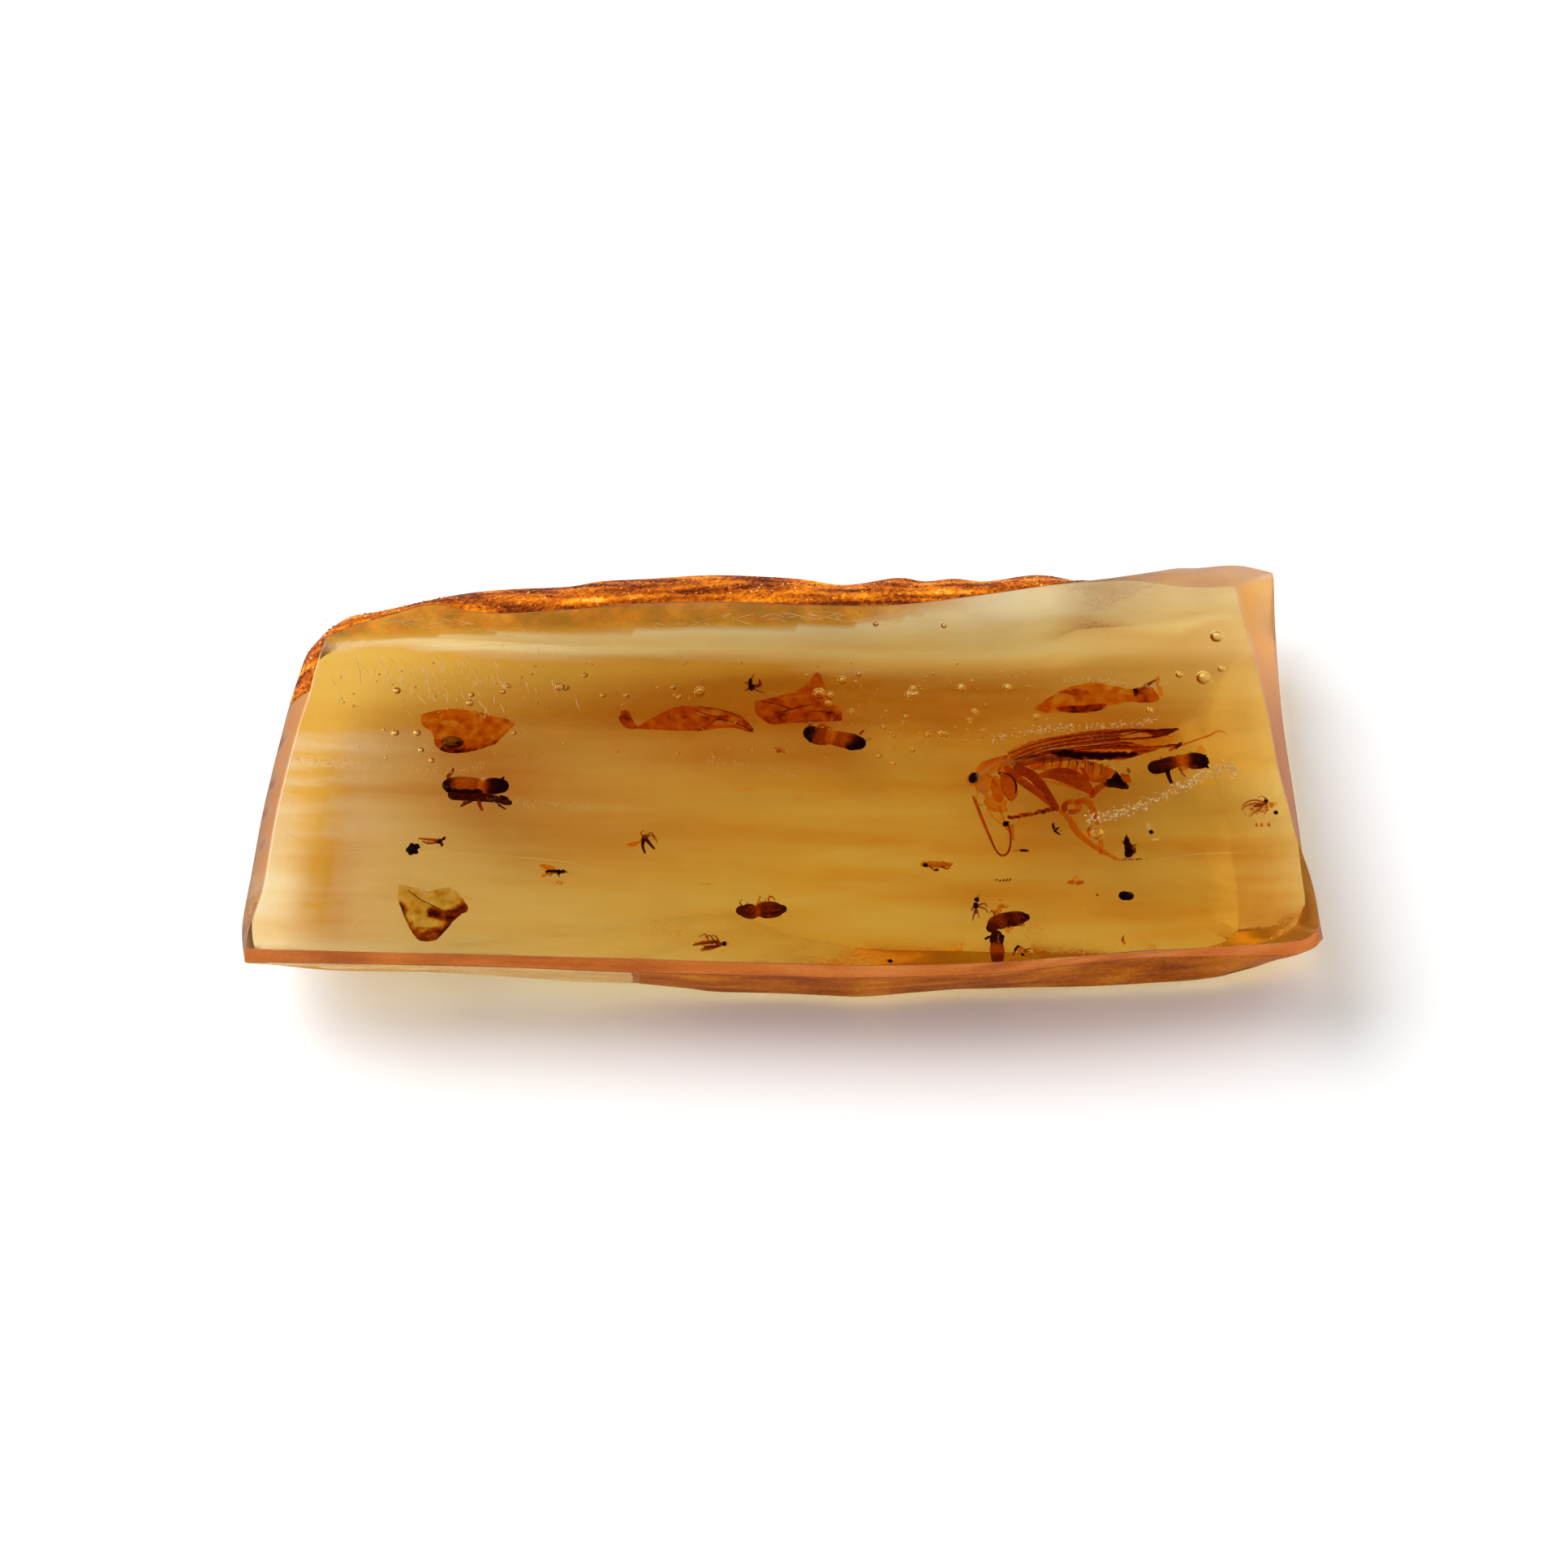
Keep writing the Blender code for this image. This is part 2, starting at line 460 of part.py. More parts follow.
def pocket(thing, cutters, sides=4):
    # a straight-sided pocket in the piece's own frame, clear of it all round; four sides make
    # a box and eight follow a spread-out piece closer
    points = [vertex.co for vertex in thing.data.vertices]
    room = POCKET_CLEARANCE * MM
    reaches = []
    for side in range(sides):
        angle = 2 * math.pi * side / sides
        facing = Vector((math.cos(angle), math.sin(angle), 0))
        reaches.append((facing, max(point.dot(facing) for point in points) + room))
    corners = []
    for (facing, reach), (next_facing, next_reach) in zip(reaches, reaches[1:] + reaches[:1]):
        turn = facing.cross(next_facing).z
        corners.append(((reach * next_facing.y - next_reach * facing.y) / turn,
                        (next_reach * facing.x - reach * next_facing.x) / turn))
    low = min(point.z for point in points) - room
    high = max(point.z for point in points) + room
    bm = bmesh.new()
    floor = bm.faces.new([bm.verts.new((x, y, low)) for x, y in corners])
    raised = bmesh.ops.extrude_face_region(bm, geom=[floor])["geom"]
    top = [item for item in raised if isinstance(item, bmesh.types.BMVert)]
    bmesh.ops.translate(bm, vec=(0, 0, high - low), verts=top)
    bmesh.ops.transform(bm, matrix=thing.matrix_basis, verts=bm.verts)
    bmesh.ops.recalc_face_normals(bm, faces=bm.faces)
    return new_object("pocket_" + thing.name, mesh_from(bm, "pocket"), cutters)


def parting_block(name, side, cutters):
    # all that lies on one side of the parting plane; side is 1 above it and -1 below it
    length = 120.0
    height = 30.0
    bm = bmesh.new()
    bmesh.ops.create_cube(bm, size=1.0)
    bmesh.ops.scale(bm, vec=(length * MM, length * MM, height * MM), verts=bm.verts)
    block = new_object(name, mesh_from(bm, name), cutters)
    tilt = math.atan(PARTING_SLOPE)
    block.rotation_euler = (tilt, 0, 0)
    away = side * (0.5 * height - 0.5 * PARTING_GAP)
    offset = Vector((0, -math.sin(tilt), math.cos(tilt))) * away
    block.location = (Vector((0, 0, PARTING_HEIGHT)) + offset) * MM
    return block


def cut(thing, operand, name):
    difference = thing.modifiers.new(name, "BOOLEAN")
    difference.operation = "DIFFERENCE"
    difference.solver = "EXACT"
    if isinstance(operand, bpy.types.Collection):
        difference.operand_type = "COLLECTION"
        difference.collection = operand
    else:
        difference.object = operand


def build():
    clear_scene()
    parts = new_collection("copal_with_insects")
    cutters = new_collection("cutters")
    pockets = new_collection("pockets")
    workshop = new_collection("workshop")

    copal = finish("copal, lapped and polished", "E0B04A", 0.05, transmission=1.0)
    chitin = finish("beetle chitin", "4A1A08", 0.35)
    amber_chitin = finish("cockroach chitin", "A2480C", 0.30)
    brown_chitin = finish("small insect chitin", "6A300C", 0.40)
    seed_coat = finish("seed coat", "2A1A12", 0.45)

    inclusions = [cockroach(parts, amber_chitin, workshop)]
    pocket(inclusions[0], pockets, sides=8)

    boxed = []
    for name, (centre, length, width, heading, pitch, leg_side) in BORERS.items():
        body = pinhole_borer(name, length, width, leg_side, parts, chitin, workshop)
        boxed.append(place(body, centre, (0, -pitch, heading)))
    for name, (centre, length, width, heading, wing, reach) in SMALL_INSECTS.items():
        body = small_insect(name, length, width, wing, reach, parts, brown_chitin, workshop)
        boxed.append(place(body, centre, (0, 0, heading)))
    for name, (outline, centre, turn, colour) in LEAVES.items():
        leaf = fuse(name, [plate(outline, LEAF_THICKNESS, workshop)], parts,
                    finish(name.replace("_", " "), colour, 0.5), workshop)
        boxed.append(place(leaf, centre, turn))
    for name, (centre, radii, heading), coat in (("oval_beetle", OVAL_BEETLE, amber_chitin),
                                                 ("seed", SEED, seed_coat)):
        egg = fuse(name, [ball((0, 0, 0), radii, workshop, around=10)], parts, coat, workshop)
        boxed.append(place(egg, centre, (0, 0, heading)))
    lobes = [ball(centre, radii, workshop, rings=5) for centre, radii in PELLET_LOBES]
    boxed.append(place(fuse("pellet", lobes, parts, seed_coat, workshop), PELLET_PLACE))
    for thing in boxed:
        pocket(thing, pockets)

    lower_side = parting_block("below_parting", -1, cutters)
    upper_side = parting_block("above_parting", 1, cutters)
    slab = slab_mesh()
    slab.materials.append(copal)
    for name, block in (("copal_upper", lower_side), ("copal_lower", upper_side)):
        half = new_object(name, slab.copy(), parts)
        cut(half, block, "parting")
        cut(half, pockets, "pockets")

    for cutter in [*cutters.objects, *pockets.objects]:
        cutter.hide_render = True
        cutter.display_type = "WIRE"
    bpy.data.collections.remove(workshop)


build()
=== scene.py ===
# Copal with insects: the looks of the slab and of what is sealed in it.
# Lengths are in millimetres and angles in degrees until a mesh is finished.

import math
import random

import bmesh
import bpy
from mathutils import Euler, Matrix, Vector, geometry, noise


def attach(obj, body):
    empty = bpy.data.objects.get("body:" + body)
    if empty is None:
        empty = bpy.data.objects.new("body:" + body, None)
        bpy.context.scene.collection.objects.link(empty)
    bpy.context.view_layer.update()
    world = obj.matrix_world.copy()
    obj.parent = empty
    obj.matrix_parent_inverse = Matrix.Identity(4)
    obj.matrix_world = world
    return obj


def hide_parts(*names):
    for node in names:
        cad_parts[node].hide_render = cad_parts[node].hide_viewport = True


noise.seed_set(5)    # the same waves on every run
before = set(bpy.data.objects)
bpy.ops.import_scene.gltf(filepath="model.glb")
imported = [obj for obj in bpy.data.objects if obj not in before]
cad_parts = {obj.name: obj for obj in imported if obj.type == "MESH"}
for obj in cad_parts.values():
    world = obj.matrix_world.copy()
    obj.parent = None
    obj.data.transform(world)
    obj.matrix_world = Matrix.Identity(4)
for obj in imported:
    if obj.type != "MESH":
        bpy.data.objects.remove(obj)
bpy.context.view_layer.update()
mm = 0.001

# The photograph's view, and the polished face that everything inside is seen through
view = {
    "target": (0.0, -3.45, 10.5),
    "elevation": 55.0,
    "distance": 330.0,
    "lens": 90.0,
    "sensor": 36.0,
    "framePixels": 1932,
    "faceHeight": 10.5,
    "resinIor": 1.54,
}


# Points seen in the photograph

def viewRay(u, v):
    tilt = math.radians(view["elevation"])
    forward = Vector((0, math.cos(tilt), -math.sin(tilt)))
    up = Vector((0, math.sin(tilt), math.cos(tilt)))
    half = view["framePixels"] / 2
    reach = view["sensor"] / view["lens"] / 2
    eye = Vector(view["target"]) - forward * view["distance"]
    ray = forward + Vector((1, 0, 0)) * (u - half) / half * reach - up * (v - half) / half * reach
    return eye, ray.normalized()


def seenInside(u, v, height):
    # the point at that height in the copal that shows at the pixel, bent by the polished face
    eye, ray = viewRay(u, v)
    entry = eye + ray * ((view["faceHeight"] - eye.z) / ray.z)
    bent = Vector((ray.x, ray.y, 0)) / view["resinIor"]
    bent.z = -math.sqrt(1 - bent.x ** 2 - bent.y ** 2)
    return entry + bent * ((height - entry.z) / bent.z)


def pixelOf(point):
    # the pixel at which a point in the copal shows, near enough for a soft-edged patch
    sink = math.sin(math.radians(90 - view["elevation"])) / view["resinIor"]
    drift = sink / math.sqrt(1 - sink ** 2)
    onFace = Vector((point.x, point.y - drift * (view["faceHeight"] - point.z), view["faceHeight"]))
    tilt = math.radians(view["elevation"])
    forward = Vector((0, math.cos(tilt), -math.sin(tilt)))
    up = Vector((0, math.sin(tilt), math.cos(tilt)))
    away = onFace - (Vector(view["target"]) - forward * view["distance"])
    scale = view["framePixels"] / 2 / (view["sensor"] / view["lens"] / 2) / away.dot(forward)
    return view["framePixels"] / 2 + away.x * scale, view["framePixels"] / 2 - away.dot(up) * scale


# Mesh helpers. Each adds to a bmesh in millimetres and writes the tone of what it adds.

def newBmesh():
    bm = bmesh.new()
    bm.verts.layers.float.new("tone")
    return bm


def smoothLine(points, steps):
    # a smooth curve through the points, with any number of values in each
    size = len(points[0])
    line = []
    for i in range(len(points) - 1):
        a = points[max(i - 1, 0)]
        b = points[i]
        c = points[i + 1]
        d = points[min(i + 2, len(points) - 1)]
        for step in range(steps):
            t = step / steps
            line.append([0.5 * (2 * b[k] + (c[k] - a[k]) * t
                                + (2 * a[k] - 5 * b[k] + 4 * c[k] - d[k]) * t ** 2
                                + (3 * b[k] - a[k] - 3 * c[k] + d[k]) * t ** 3) for k in range(size)])
    line.append(list(points[-1]))
    return line


def alongLine(points, share):
    # the point at a share of a line's length, 0 to 1
    knots = [Vector(p) for p in points]
    lengths = [0.0]
    for a, b in zip(knots, knots[1:]):
        lengths.append(lengths[-1] + (b - a).length)
    target = share * lengths[-1]
    for i in range(len(knots) - 1):
        if target <= lengths[i + 1] or i == len(knots) - 2:
            span = lengths[i + 1] - lengths[i]
            return knots[i].lerp(knots[i + 1], (target - lengths[i]) / span if span else 0)


def addTube(bm, points, radii, tone=0.5, sides=10, depth=1.0, steps=4):
    # a limb, antenna or body with round ends; depth is its height over its width
    layer = bm.verts.layers.float["tone"]
    tones = tone if isinstance(tone, (list, tuple)) else [tone] * len(points)
    rows = smoothLine([(*p, r, t) for p, r, t in zip(points, radii, tones)], steps)
    for end, inner, into in ((0, 1, 1), (-1, -2, -1)):
        tip = Vector(rows[end][:3])
        outwards = (tip - Vector(rows[inner][:3])).normalized()
        radius = rows[end][3]
        caps = []
        for lean in (30, 60, 80):
            angle = math.radians(lean)
            centre = tip + outwards * radius * math.sin(angle)
            caps.append([*centre, radius * math.cos(angle), rows[end][4]])
        rows = list(reversed(caps)) + rows if into == 1 else rows + caps
    loops = []
    for i, row in enumerate(rows):
        before = Vector(rows[max(i - 1, 0)][:3])
        after = Vector(rows[min(i + 1, len(rows) - 1)][:3])
        along = (after - before).normalized()
        side = along.cross(Vector((0, 0, 1)))
        side = side.normalized() if side.length > 0.05 else Vector((0, 1, 0))
        up = side.cross(along).normalized()
        radius = max(row[3], 0.004)
        loop = []
        for k in range(sides):
            angle = 2 * math.pi * k / sides
            place = Vector(row[:3]) + side * radius * math.cos(angle)
            vert = bm.verts.new(place + up * radius * depth * math.sin(angle))
            vert[layer] = row[4]
            loop.append(vert)
        loops.append(loop)
    for upper, lower in zip(loops, loops[1:]):
        for k in range(sides):
            j = (k + 1) % sides
            bm.faces.new((upper[k], upper[j], lower[j], lower[k]))
    bm.faces.new(list(reversed(loops[0])))
    bm.faces.new(loops[-1])


def addBall(bm, centre, radii, turn=(0, 0, 0), tone=0.5, detail=3, lump=0.0, seed=0.0):
    # an egg-shaped body part, lumpy if asked
    layer = bm.verts.layers.float["tone"]
    made = bmesh.ops.create_icosphere(bm, subdivisions=detail, radius=1.0)["verts"]
    turned = Euler([math.radians(a) for a in turn]).to_matrix()
    for vert in made:
        push = 1 + lump * noise.noise(vert.co * 1.7 + Vector((seed, 0, 0)))
        shaped = Vector((vert.co.x * radii[0], vert.co.y * radii[1], vert.co.z * radii[2])) * push
        vert.co = turned @ shaped + Vector(centre)
        vert[layer] = tone


def addGrid(bm, top, bottom, tones):
    # a closed plate between two grids of points
    layer = bm.verts.layers.float["tone"]
    sheets = []
    for grid in (top, bottom):
        sheet = []
        for row, toneRow in zip(grid, tones):
            verts = [bm.verts.new(p) for p in row]
            for vert, tone in zip(verts, toneRow):
                vert[layer] = tone
            sheet.append(verts)
        sheets.append(sheet)
    above, below = sheets
    rows = len(above)
    columns = len(above[0])
    for i in range(rows - 1):
        for j in range(columns - 1):
            bm.faces.new((above[i][j], above[i + 1][j], above[i + 1][j + 1], above[i][j + 1]))
            bm.faces.new((below[i][j], below[i][j + 1], below[i + 1][j + 1], below[i + 1][j]))
    border = [(i, 0) for i in range(rows)] + [(rows - 1, j) for j in range(1, columns)]
    border += [(i, columns - 1) for i in range(rows - 2, -1, -1)]
    border += [(0, j) for j in range(columns - 2, 0, -1)]
    for (i, j), (k, l) in zip(border, border[1:] + border[:1]):
        bm.faces.new((above[i][j], below[i][j], below[k][l], above[k][l]))


def addShell(bm, upper, lower, side, reach, thickness, tone, steps=28, across=8):
    # a wing or shield that lies round the back: from its back line (upper) to its margin (lower)
    top = []
    bottom = []
    tones = []
    for i in range(steps + 1):
        share = i / steps
        a = alongLine(upper, share)
        b = alongLine(lower, share)
        rowTop = []
        rowBottom = []
        rowTones = []
        for j in range(across + 1):
            s = j / across
            ripple = 0.03 * math.sin(23 * s + 5 * share)
            flat = a.lerp(b, s)
            height = reach * math.sin(s * math.pi / 2) * min(1.0, 3 * share + 0.55, 4 * (1 - share) + 0.2)
            place = Vector((flat.x, flat.y, side * (height + ripple)))
            rowTop.append(place + Vector((0, 0, 0.5 * thickness)))
            rowBottom.append(place - Vector((0, 0, 0.5 * thickness)))
            rowTones.append(tone(share, s))
        top.append(rowTop)
        bottom.append(rowBottom)
        tones.append(rowTones)
    addGrid(bm, top, bottom, tones)


def addSheet(bm, outline, thickness, spacing, lift, tone, seed=1):
    # a leaf or wing with a free outline, filled with small triangles; lift gives its height
    layer = bm.verts.layers.float["tone"]
    draw = random.Random(seed)
    edge = smoothLine([*outline, outline[0]], 5)[:-1]
    edge = [Vector((x + draw.uniform(-0.25, 0.25) * spacing, y + draw.uniform(-0.25, 0.25) * spacing))
            for x, y in edge]
    points = list(edge)
    low = [min(p[k] for p in edge) for k in (0, 1)]
    high = [max(p[k] for p in edge) for k in (0, 1)]
    x = low[0]
    while x < high[0]:
        y = low[1]
        while y < high[1]:
            spot = Vector((x + draw.uniform(-0.3, 0.3) * spacing, y + draw.uniform(-0.3, 0.3) * spacing))
            if insideOutline(spot, edge) and min((spot - p).length for p in edge) > 0.5 * spacing:
                points.append(spot)
            y += spacing
        x += spacing
    rim = [(i, (i + 1) % len(edge)) for i in range(len(edge))]
    spots, _, faces, _, _, _ = geometry.delaunay_2d_cdt(points, rim, [], 1, 1e-5)
    sheets = []
    for offset in (0.5, -0.5):
        verts = []
        for spot in spots:
            vert = bm.verts.new((spot.x, spot.y, lift(spot.x, spot.y) + offset * thickness))
            vert[layer] = tone(spot.x, spot.y)
            verts.append(vert)
        sheets.append(verts)
    above, below = sheets
    uses = {}
    for face in faces:
        bm.faces.new([above[i] for i in face])
        bm.faces.new([below[i] for i in reversed(face)])
        for a, b in zip(face, face[1:] + face[:1]):
            uses[(a, b)] = True
    for a, b in list(uses):
        if (b, a) not in uses:
            bm.faces.new((above[b], above[a], below[a], below[b]))


def addSpecks(bm, centre, spread, count, sizes, tone, seed):
    # powder or grains strewn through a box about the centre
    layer = bm.verts.layers.float["tone"]
    draw = random.Random(seed)
    for _ in range(count):
        size = draw.uniform(*sizes)
        spot = Vector([c + draw.gauss(0, 0.45) * s for c, s in zip(centre, spread)])
        made = bmesh.ops.create_icosphere(bm, subdivisions=1, radius=size)["verts"]
        squash = Vector([draw.uniform(0.6, 1.3) for _ in range(3)])
        for vert in made:
            vert.co = vert.co * squash + spot
            vert[layer] = tone


def addHairs(bm, points, reach, count, lean, tone, seed):
    # bristles along a line, leaning to one side of it
    draw = random.Random(seed)
    for i in range(count):
        root = alongLine(points, (i + draw.uniform(0.2, 0.8)) / count)
        angle = math.radians(lean + draw.uniform(-25, 25))
        tip = root + Vector((math.cos(angle), math.sin(angle), draw.uniform(-0.3, 0.3))) * reach
        addTube(bm, [root, tip], [0.025, 0.01], tone, sides=5, steps=2)


def insideOutline(spot, edge):
    hit = False
    for a, b in zip(edge, edge[1:] + edge[:1]):
        if (a.y > spot.y) != (b.y > spot.y):
            if spot.x < (b.x - a.x) * (spot.y - a.y) / (b.y - a.y) + a.x:
                hit = not hit
    return hit


def finishPiece(name, bm, material, place=(0, 0, 0), turn=(0, 0, 0), replaces=(), fix=True):
    # the piece in metres, with its place in its mesh, riding on the slab's body
    angles = Euler([math.radians(a) for a in turn]).to_matrix().to_4x4()
    bmesh.ops.transform(bm, matrix=Matrix.Translation(place) @ angles, verts=bm.verts)
    bmesh.ops.scale(bm, vec=(mm, mm, mm), verts=bm.verts)
    if fix:
        bmesh.ops.recalc_face_normals(bm, faces=bm.faces)
    mesh = bpy.data.meshes.new(name)
    bm.to_mesh(mesh)
    bm.free()
    mesh.shade_smooth()
    mesh.set_sharp_from_angle(angle=math.radians(50))
    mesh.materials.append(material)
    piece = bpy.data.objects.new(name, mesh)
    bpy.context.scene.collection.objects.link(piece)
    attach(piece, "root")
    if replaces:
        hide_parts(*replaces)
    return piece


# Materials

def linear(hexColour):
    # sRGB hex to the linear values a shader takes
    channels = [int(hexColour[i:i + 2], 16) / 255 for i in (0, 2, 4)]
    return [c / 12.92 if c <= 0.04045 else ((c + 0.055) / 1.055) ** 2.4 for c in channels] + [1.0]


def node(tree, kind, values=(), links=(), stops=(), **settings):
    # adds a node with its settings, socket values, links and colour stops
    made = tree.nodes.new(kind)
    for name, value in settings.items():
        setattr(made, name, value)
    for socket, value in dict(values).items():
        made.inputs[socket].default_value = value
    for socket, source in dict(links).items():
        tree.links.new(source, made.inputs[socket])
    if stops:
        ramp = made.color_ramp
        while len(ramp.elements) < len(stops):
            ramp.elements.new(1.0)
        for element, (position, colour) in zip(ramp.elements, stops):
            element.position = position
            element.color = linear(colour) if isinstance(colour, str) else (colour, colour, colour, 1)
    return made


def newMaterial(name):
    material = bpy.data.materials.new(name)
    material.use_nodes = True
    tree = material.node_tree
    return material, tree, tree.nodes["Principled BSDF"]


copalLook = {
    "absorbs": (5.0, 28.0, 114.0),     # per metre of resin, in red, green and blue
    "streakLength": 22.0,               # flow streaks of the underside, along and across
    "streakWidth": 3.0,
    "skinRoughness": 0.22,
    "groundRoughness": 0.55,
    "crustRoughness": 0.65,
    "stainAndShade": "D89C30",                  # deeper gold on the underside, partly painted shade of the floor seen through it, partly stain
    "groundGlowTint": "F0A03C",             # painted orange glow on the thin ground edges
    "grainSize": 0.55,                  # sparkling grains of the crust
}


def copalMaterial():
    # fossil resin: clear and golden, glass-smooth where polished, semi-matt on its own skin
    look = copalLook
    material, tree, shader = newMaterial("copal, lapped and polished over a natural skin")
    place = node(tree, "ShaderNodeTexCoord").outputs["Object"]
    skin = node(tree, "ShaderNodeAttribute", attribute_name="skin").outputs["Fac"]
    ground = node(tree, "ShaderNodeAttribute", attribute_name="ground").outputs["Fac"]
    # the crust, and the painted shade along the front keel
    crust = node(tree, "ShaderNodeAttribute", attribute_name="crust").outputs["Fac"]

    flowing = node(tree, "ShaderNodeMapping", {"Scale": (3 / look["streakLength"] / mm, 3 / look["streakWidth"] / mm,
                                                         1 / look["streakWidth"] / mm)}, {"Vector": place})
    streaks = node(tree, "ShaderNodeTexNoise", {"Scale": 0.3, "Detail": 4.0}, {"Vector": flowing.outputs[0]})
    skinTint = node(tree, "ShaderNodeValToRGB", links={"Fac": streaks.outputs["Fac"]},
                    stops=[(0.30, "F0CC8C"), (0.46, "FBEAC4"), (0.62, "FFFCF0")])
    # how much deeper gold: painted shade and painted light of the floor seen through the underside, with some stain
    stainAndShade = node(tree, "ShaderNodeAttribute", attribute_name="stainAndShade").outputs["Fac"]
    stainedAndShaded = node(tree, "ShaderNodeMix", {"B": linear(look["stainAndShade"])},
                   {"Factor": stainAndShade, "A": skinTint.outputs["Color"]}, data_type="RGBA", blend_type="MULTIPLY")
    grains = node(tree, "ShaderNodeTexVoronoi", {"Scale": 1 / look["grainSize"] / mm}, {"Vector": place})
    clouds = node(tree, "ShaderNodeTexNoise", {"Scale": 0.35 / mm, "Detail": 6.0}, {"Vector": place})
    crustTint = node(tree, "ShaderNodeValToRGB", links={"Fac": clouds.outputs["Fac"]},
                     stops=[(0.34, "8A3A00"), (0.5, "CC6404"), (0.66, "FFA41C")])
    cellTint = node(tree, "ShaderNodeMix", {"Factor": 0.35, "B": (1, 1, 1, 1)},
                    {"A": crustTint.outputs["Color"], "B": grains.outputs["Color"]}, data_type="RGBA",
                    blend_type="MULTIPLY")
    groundGlow = node(tree, "ShaderNodeMix", {"A": (1, 1, 1, 1), "B": linear(look["groundGlowTint"])},
                {"Factor": ground}, data_type="RGBA")
    white = node(tree, "ShaderNodeMix", {}, {"Factor": skin, "A": groundGlow.outputs["Result"],
                                             "B": stainedAndShaded.outputs["Result"]}, data_type="RGBA")
    tinted = node(tree, "ShaderNodeMix", {}, {"Factor": crust, "A": white.outputs["Result"],
                                              "B": cellTint.outputs["Result"]}, data_type="RGBA")
    tree.links.new(tinted.outputs["Result"], shader.inputs["Base Color"])

    rough = node(tree, "ShaderNodeMath", {1: look["skinRoughness"]}, {0: skin}, operation="MULTIPLY")
    rough = node(tree, "ShaderNodeMath", {1: look["groundRoughness"]}, {0: ground, 2: rough.outputs[0]},
                 operation="MULTIPLY_ADD")
    rough = node(tree, "ShaderNodeMath", {1: look["crustRoughness"]}, {0: crust, 2: rough.outputs[0]},
                 operation="MULTIPLY_ADD")
    rough = node(tree, "ShaderNodeMath", {1: 0.015}, {0: rough.outputs[0]}, operation="ADD", use_clamp=True)
    tree.links.new(rough.outputs[0], shader.inputs["Roughness"])

    height = node(tree, "ShaderNodeMix", {}, {"Factor": crust, "A": clouds.outputs["Fac"],
                                              "B": grains.outputs["Distance"]}, data_type="FLOAT")
    touched = node(tree, "ShaderNodeMath", {}, {0: skin, 1: crust}, operation="ADD", use_clamp=True)
    deep = node(tree, "ShaderNodeMath", {1: 0.06 * mm, 2: 0.10 * mm}, {0: crust}, operation="MULTIPLY_ADD")
    bump = node(tree, "ShaderNodeBump", {}, {"Height": height.outputs["Result"], "Strength": touched.outputs[0],
                                             "Distance": deep.outputs[0]})
    tree.links.new(bump.outputs[0], shader.inputs["Normal"])

    shader.inputs["Transmission Weight"].default_value = 1.0
    shader.inputs["IOR"].default_value = view["resinIor"]
    density = max(look["absorbs"]) * 1.02
    passed = [1 - a / density for a in look["absorbs"]]
    clear = node(tree, "ShaderNodeVolumeAbsorption", {"Color": (*passed, 1), "Density": density})
    tree.links.new(clear.outputs[0], tree.nodes["Material Output"].inputs["Volume"])
    return material


def chitinMaterial(name, stops, transmission, roughness, mottle=0.35, grain=0.5):
    # insect chitin in resin: translucent, so light passes through it; how light or dark each part is comes from its
    # tone, which also paints its highlights
    material, tree, shader = newMaterial(name)
    place = node(tree, "ShaderNodeTexCoord").outputs["Object"]
    tone = node(tree, "ShaderNodeAttribute", attribute_name="tone").outputs["Fac"]
    patches = node(tree, "ShaderNodeTexNoise", {"Scale": 1 / grain / mm, "Detail": 5.0}, {"Vector": place})
    spread = node(tree, "ShaderNodeMath", {1: 0.5}, {0: patches.outputs["Fac"]}, operation="SUBTRACT")
    mixed = node(tree, "ShaderNodeMath", {1: mottle}, {0: spread.outputs[0], 2: tone},
                 operation="MULTIPLY_ADD")
    ramp = node(tree, "ShaderNodeValToRGB", links={"Fac": mixed.outputs[0]}, stops=stops)
    tree.links.new(ramp.outputs["Color"], shader.inputs["Base Color"])
    bump = node(tree, "ShaderNodeBump", {"Distance": 0.02 * mm, "Strength": 0.6},
                {"Height": patches.outputs["Fac"]})
    tree.links.new(bump.outputs[0], shader.inputs["Normal"])
    shader.inputs["Transmission Weight"].default_value = transmission
    shader.inputs["IOR"].default_value = 1.08
    shader.inputs["Roughness"].default_value = roughness
    return material


def leafMaterial(name, stops, transmission):
    # dried leaf: papery and see-through in thin places, darker along its torn edges
    material, tree, shader = newMaterial(name)
    place = node(tree, "ShaderNodeTexCoord").outputs["Object"]
    tone = node(tree, "ShaderNodeAttribute", attribute_name="tone").outputs["Fac"]
    cells = node(tree, "ShaderNodeTexVoronoi", {"Scale": 1 / 0.45 / mm}, {"Vector": place},
                 feature="DISTANCE_TO_EDGE")
    veins = node(tree, "ShaderNodeMath", {1: 0.05}, {0: cells.outputs["Distance"]}, operation="LESS_THAN")
    blotches = node(tree, "ShaderNodeTexNoise", {"Scale": 1.3 / mm, "Detail": 6.0}, {"Vector": place})
    shade = node(tree, "ShaderNodeMath", {1: 1.3}, {0: blotches.outputs["Fac"], 2: tone},
                 operation="MULTIPLY_ADD")
    shade = node(tree, "ShaderNodeMath", {1: -0.1}, {0: veins.outputs[0], 2: shade.outputs[0]},
                 operation="MULTIPLY_ADD")
    shade = node(tree, "ShaderNodeMath", {1: -0.65}, {0: shade.outputs[0]}, operation="ADD")
    ramp = node(tree, "ShaderNodeValToRGB", links={"Fac": shade.outputs[0]}, stops=stops)
    tree.links.new(ramp.outputs["Color"], shader.inputs["Base Color"])
    bump = node(tree, "ShaderNodeBump", {"Distance": 0.03 * mm, "Strength": 0.6},
                {"Height": shade.outputs[0]})
    tree.links.new(bump.outputs[0], shader.inputs["Normal"])
    shader.inputs["Transmission Weight"].default_value = transmission
    shader.inputs["IOR"].default_value = 1.03
    shader.inputs["Roughness"].default_value = 0.35
    return material


# The copal slab

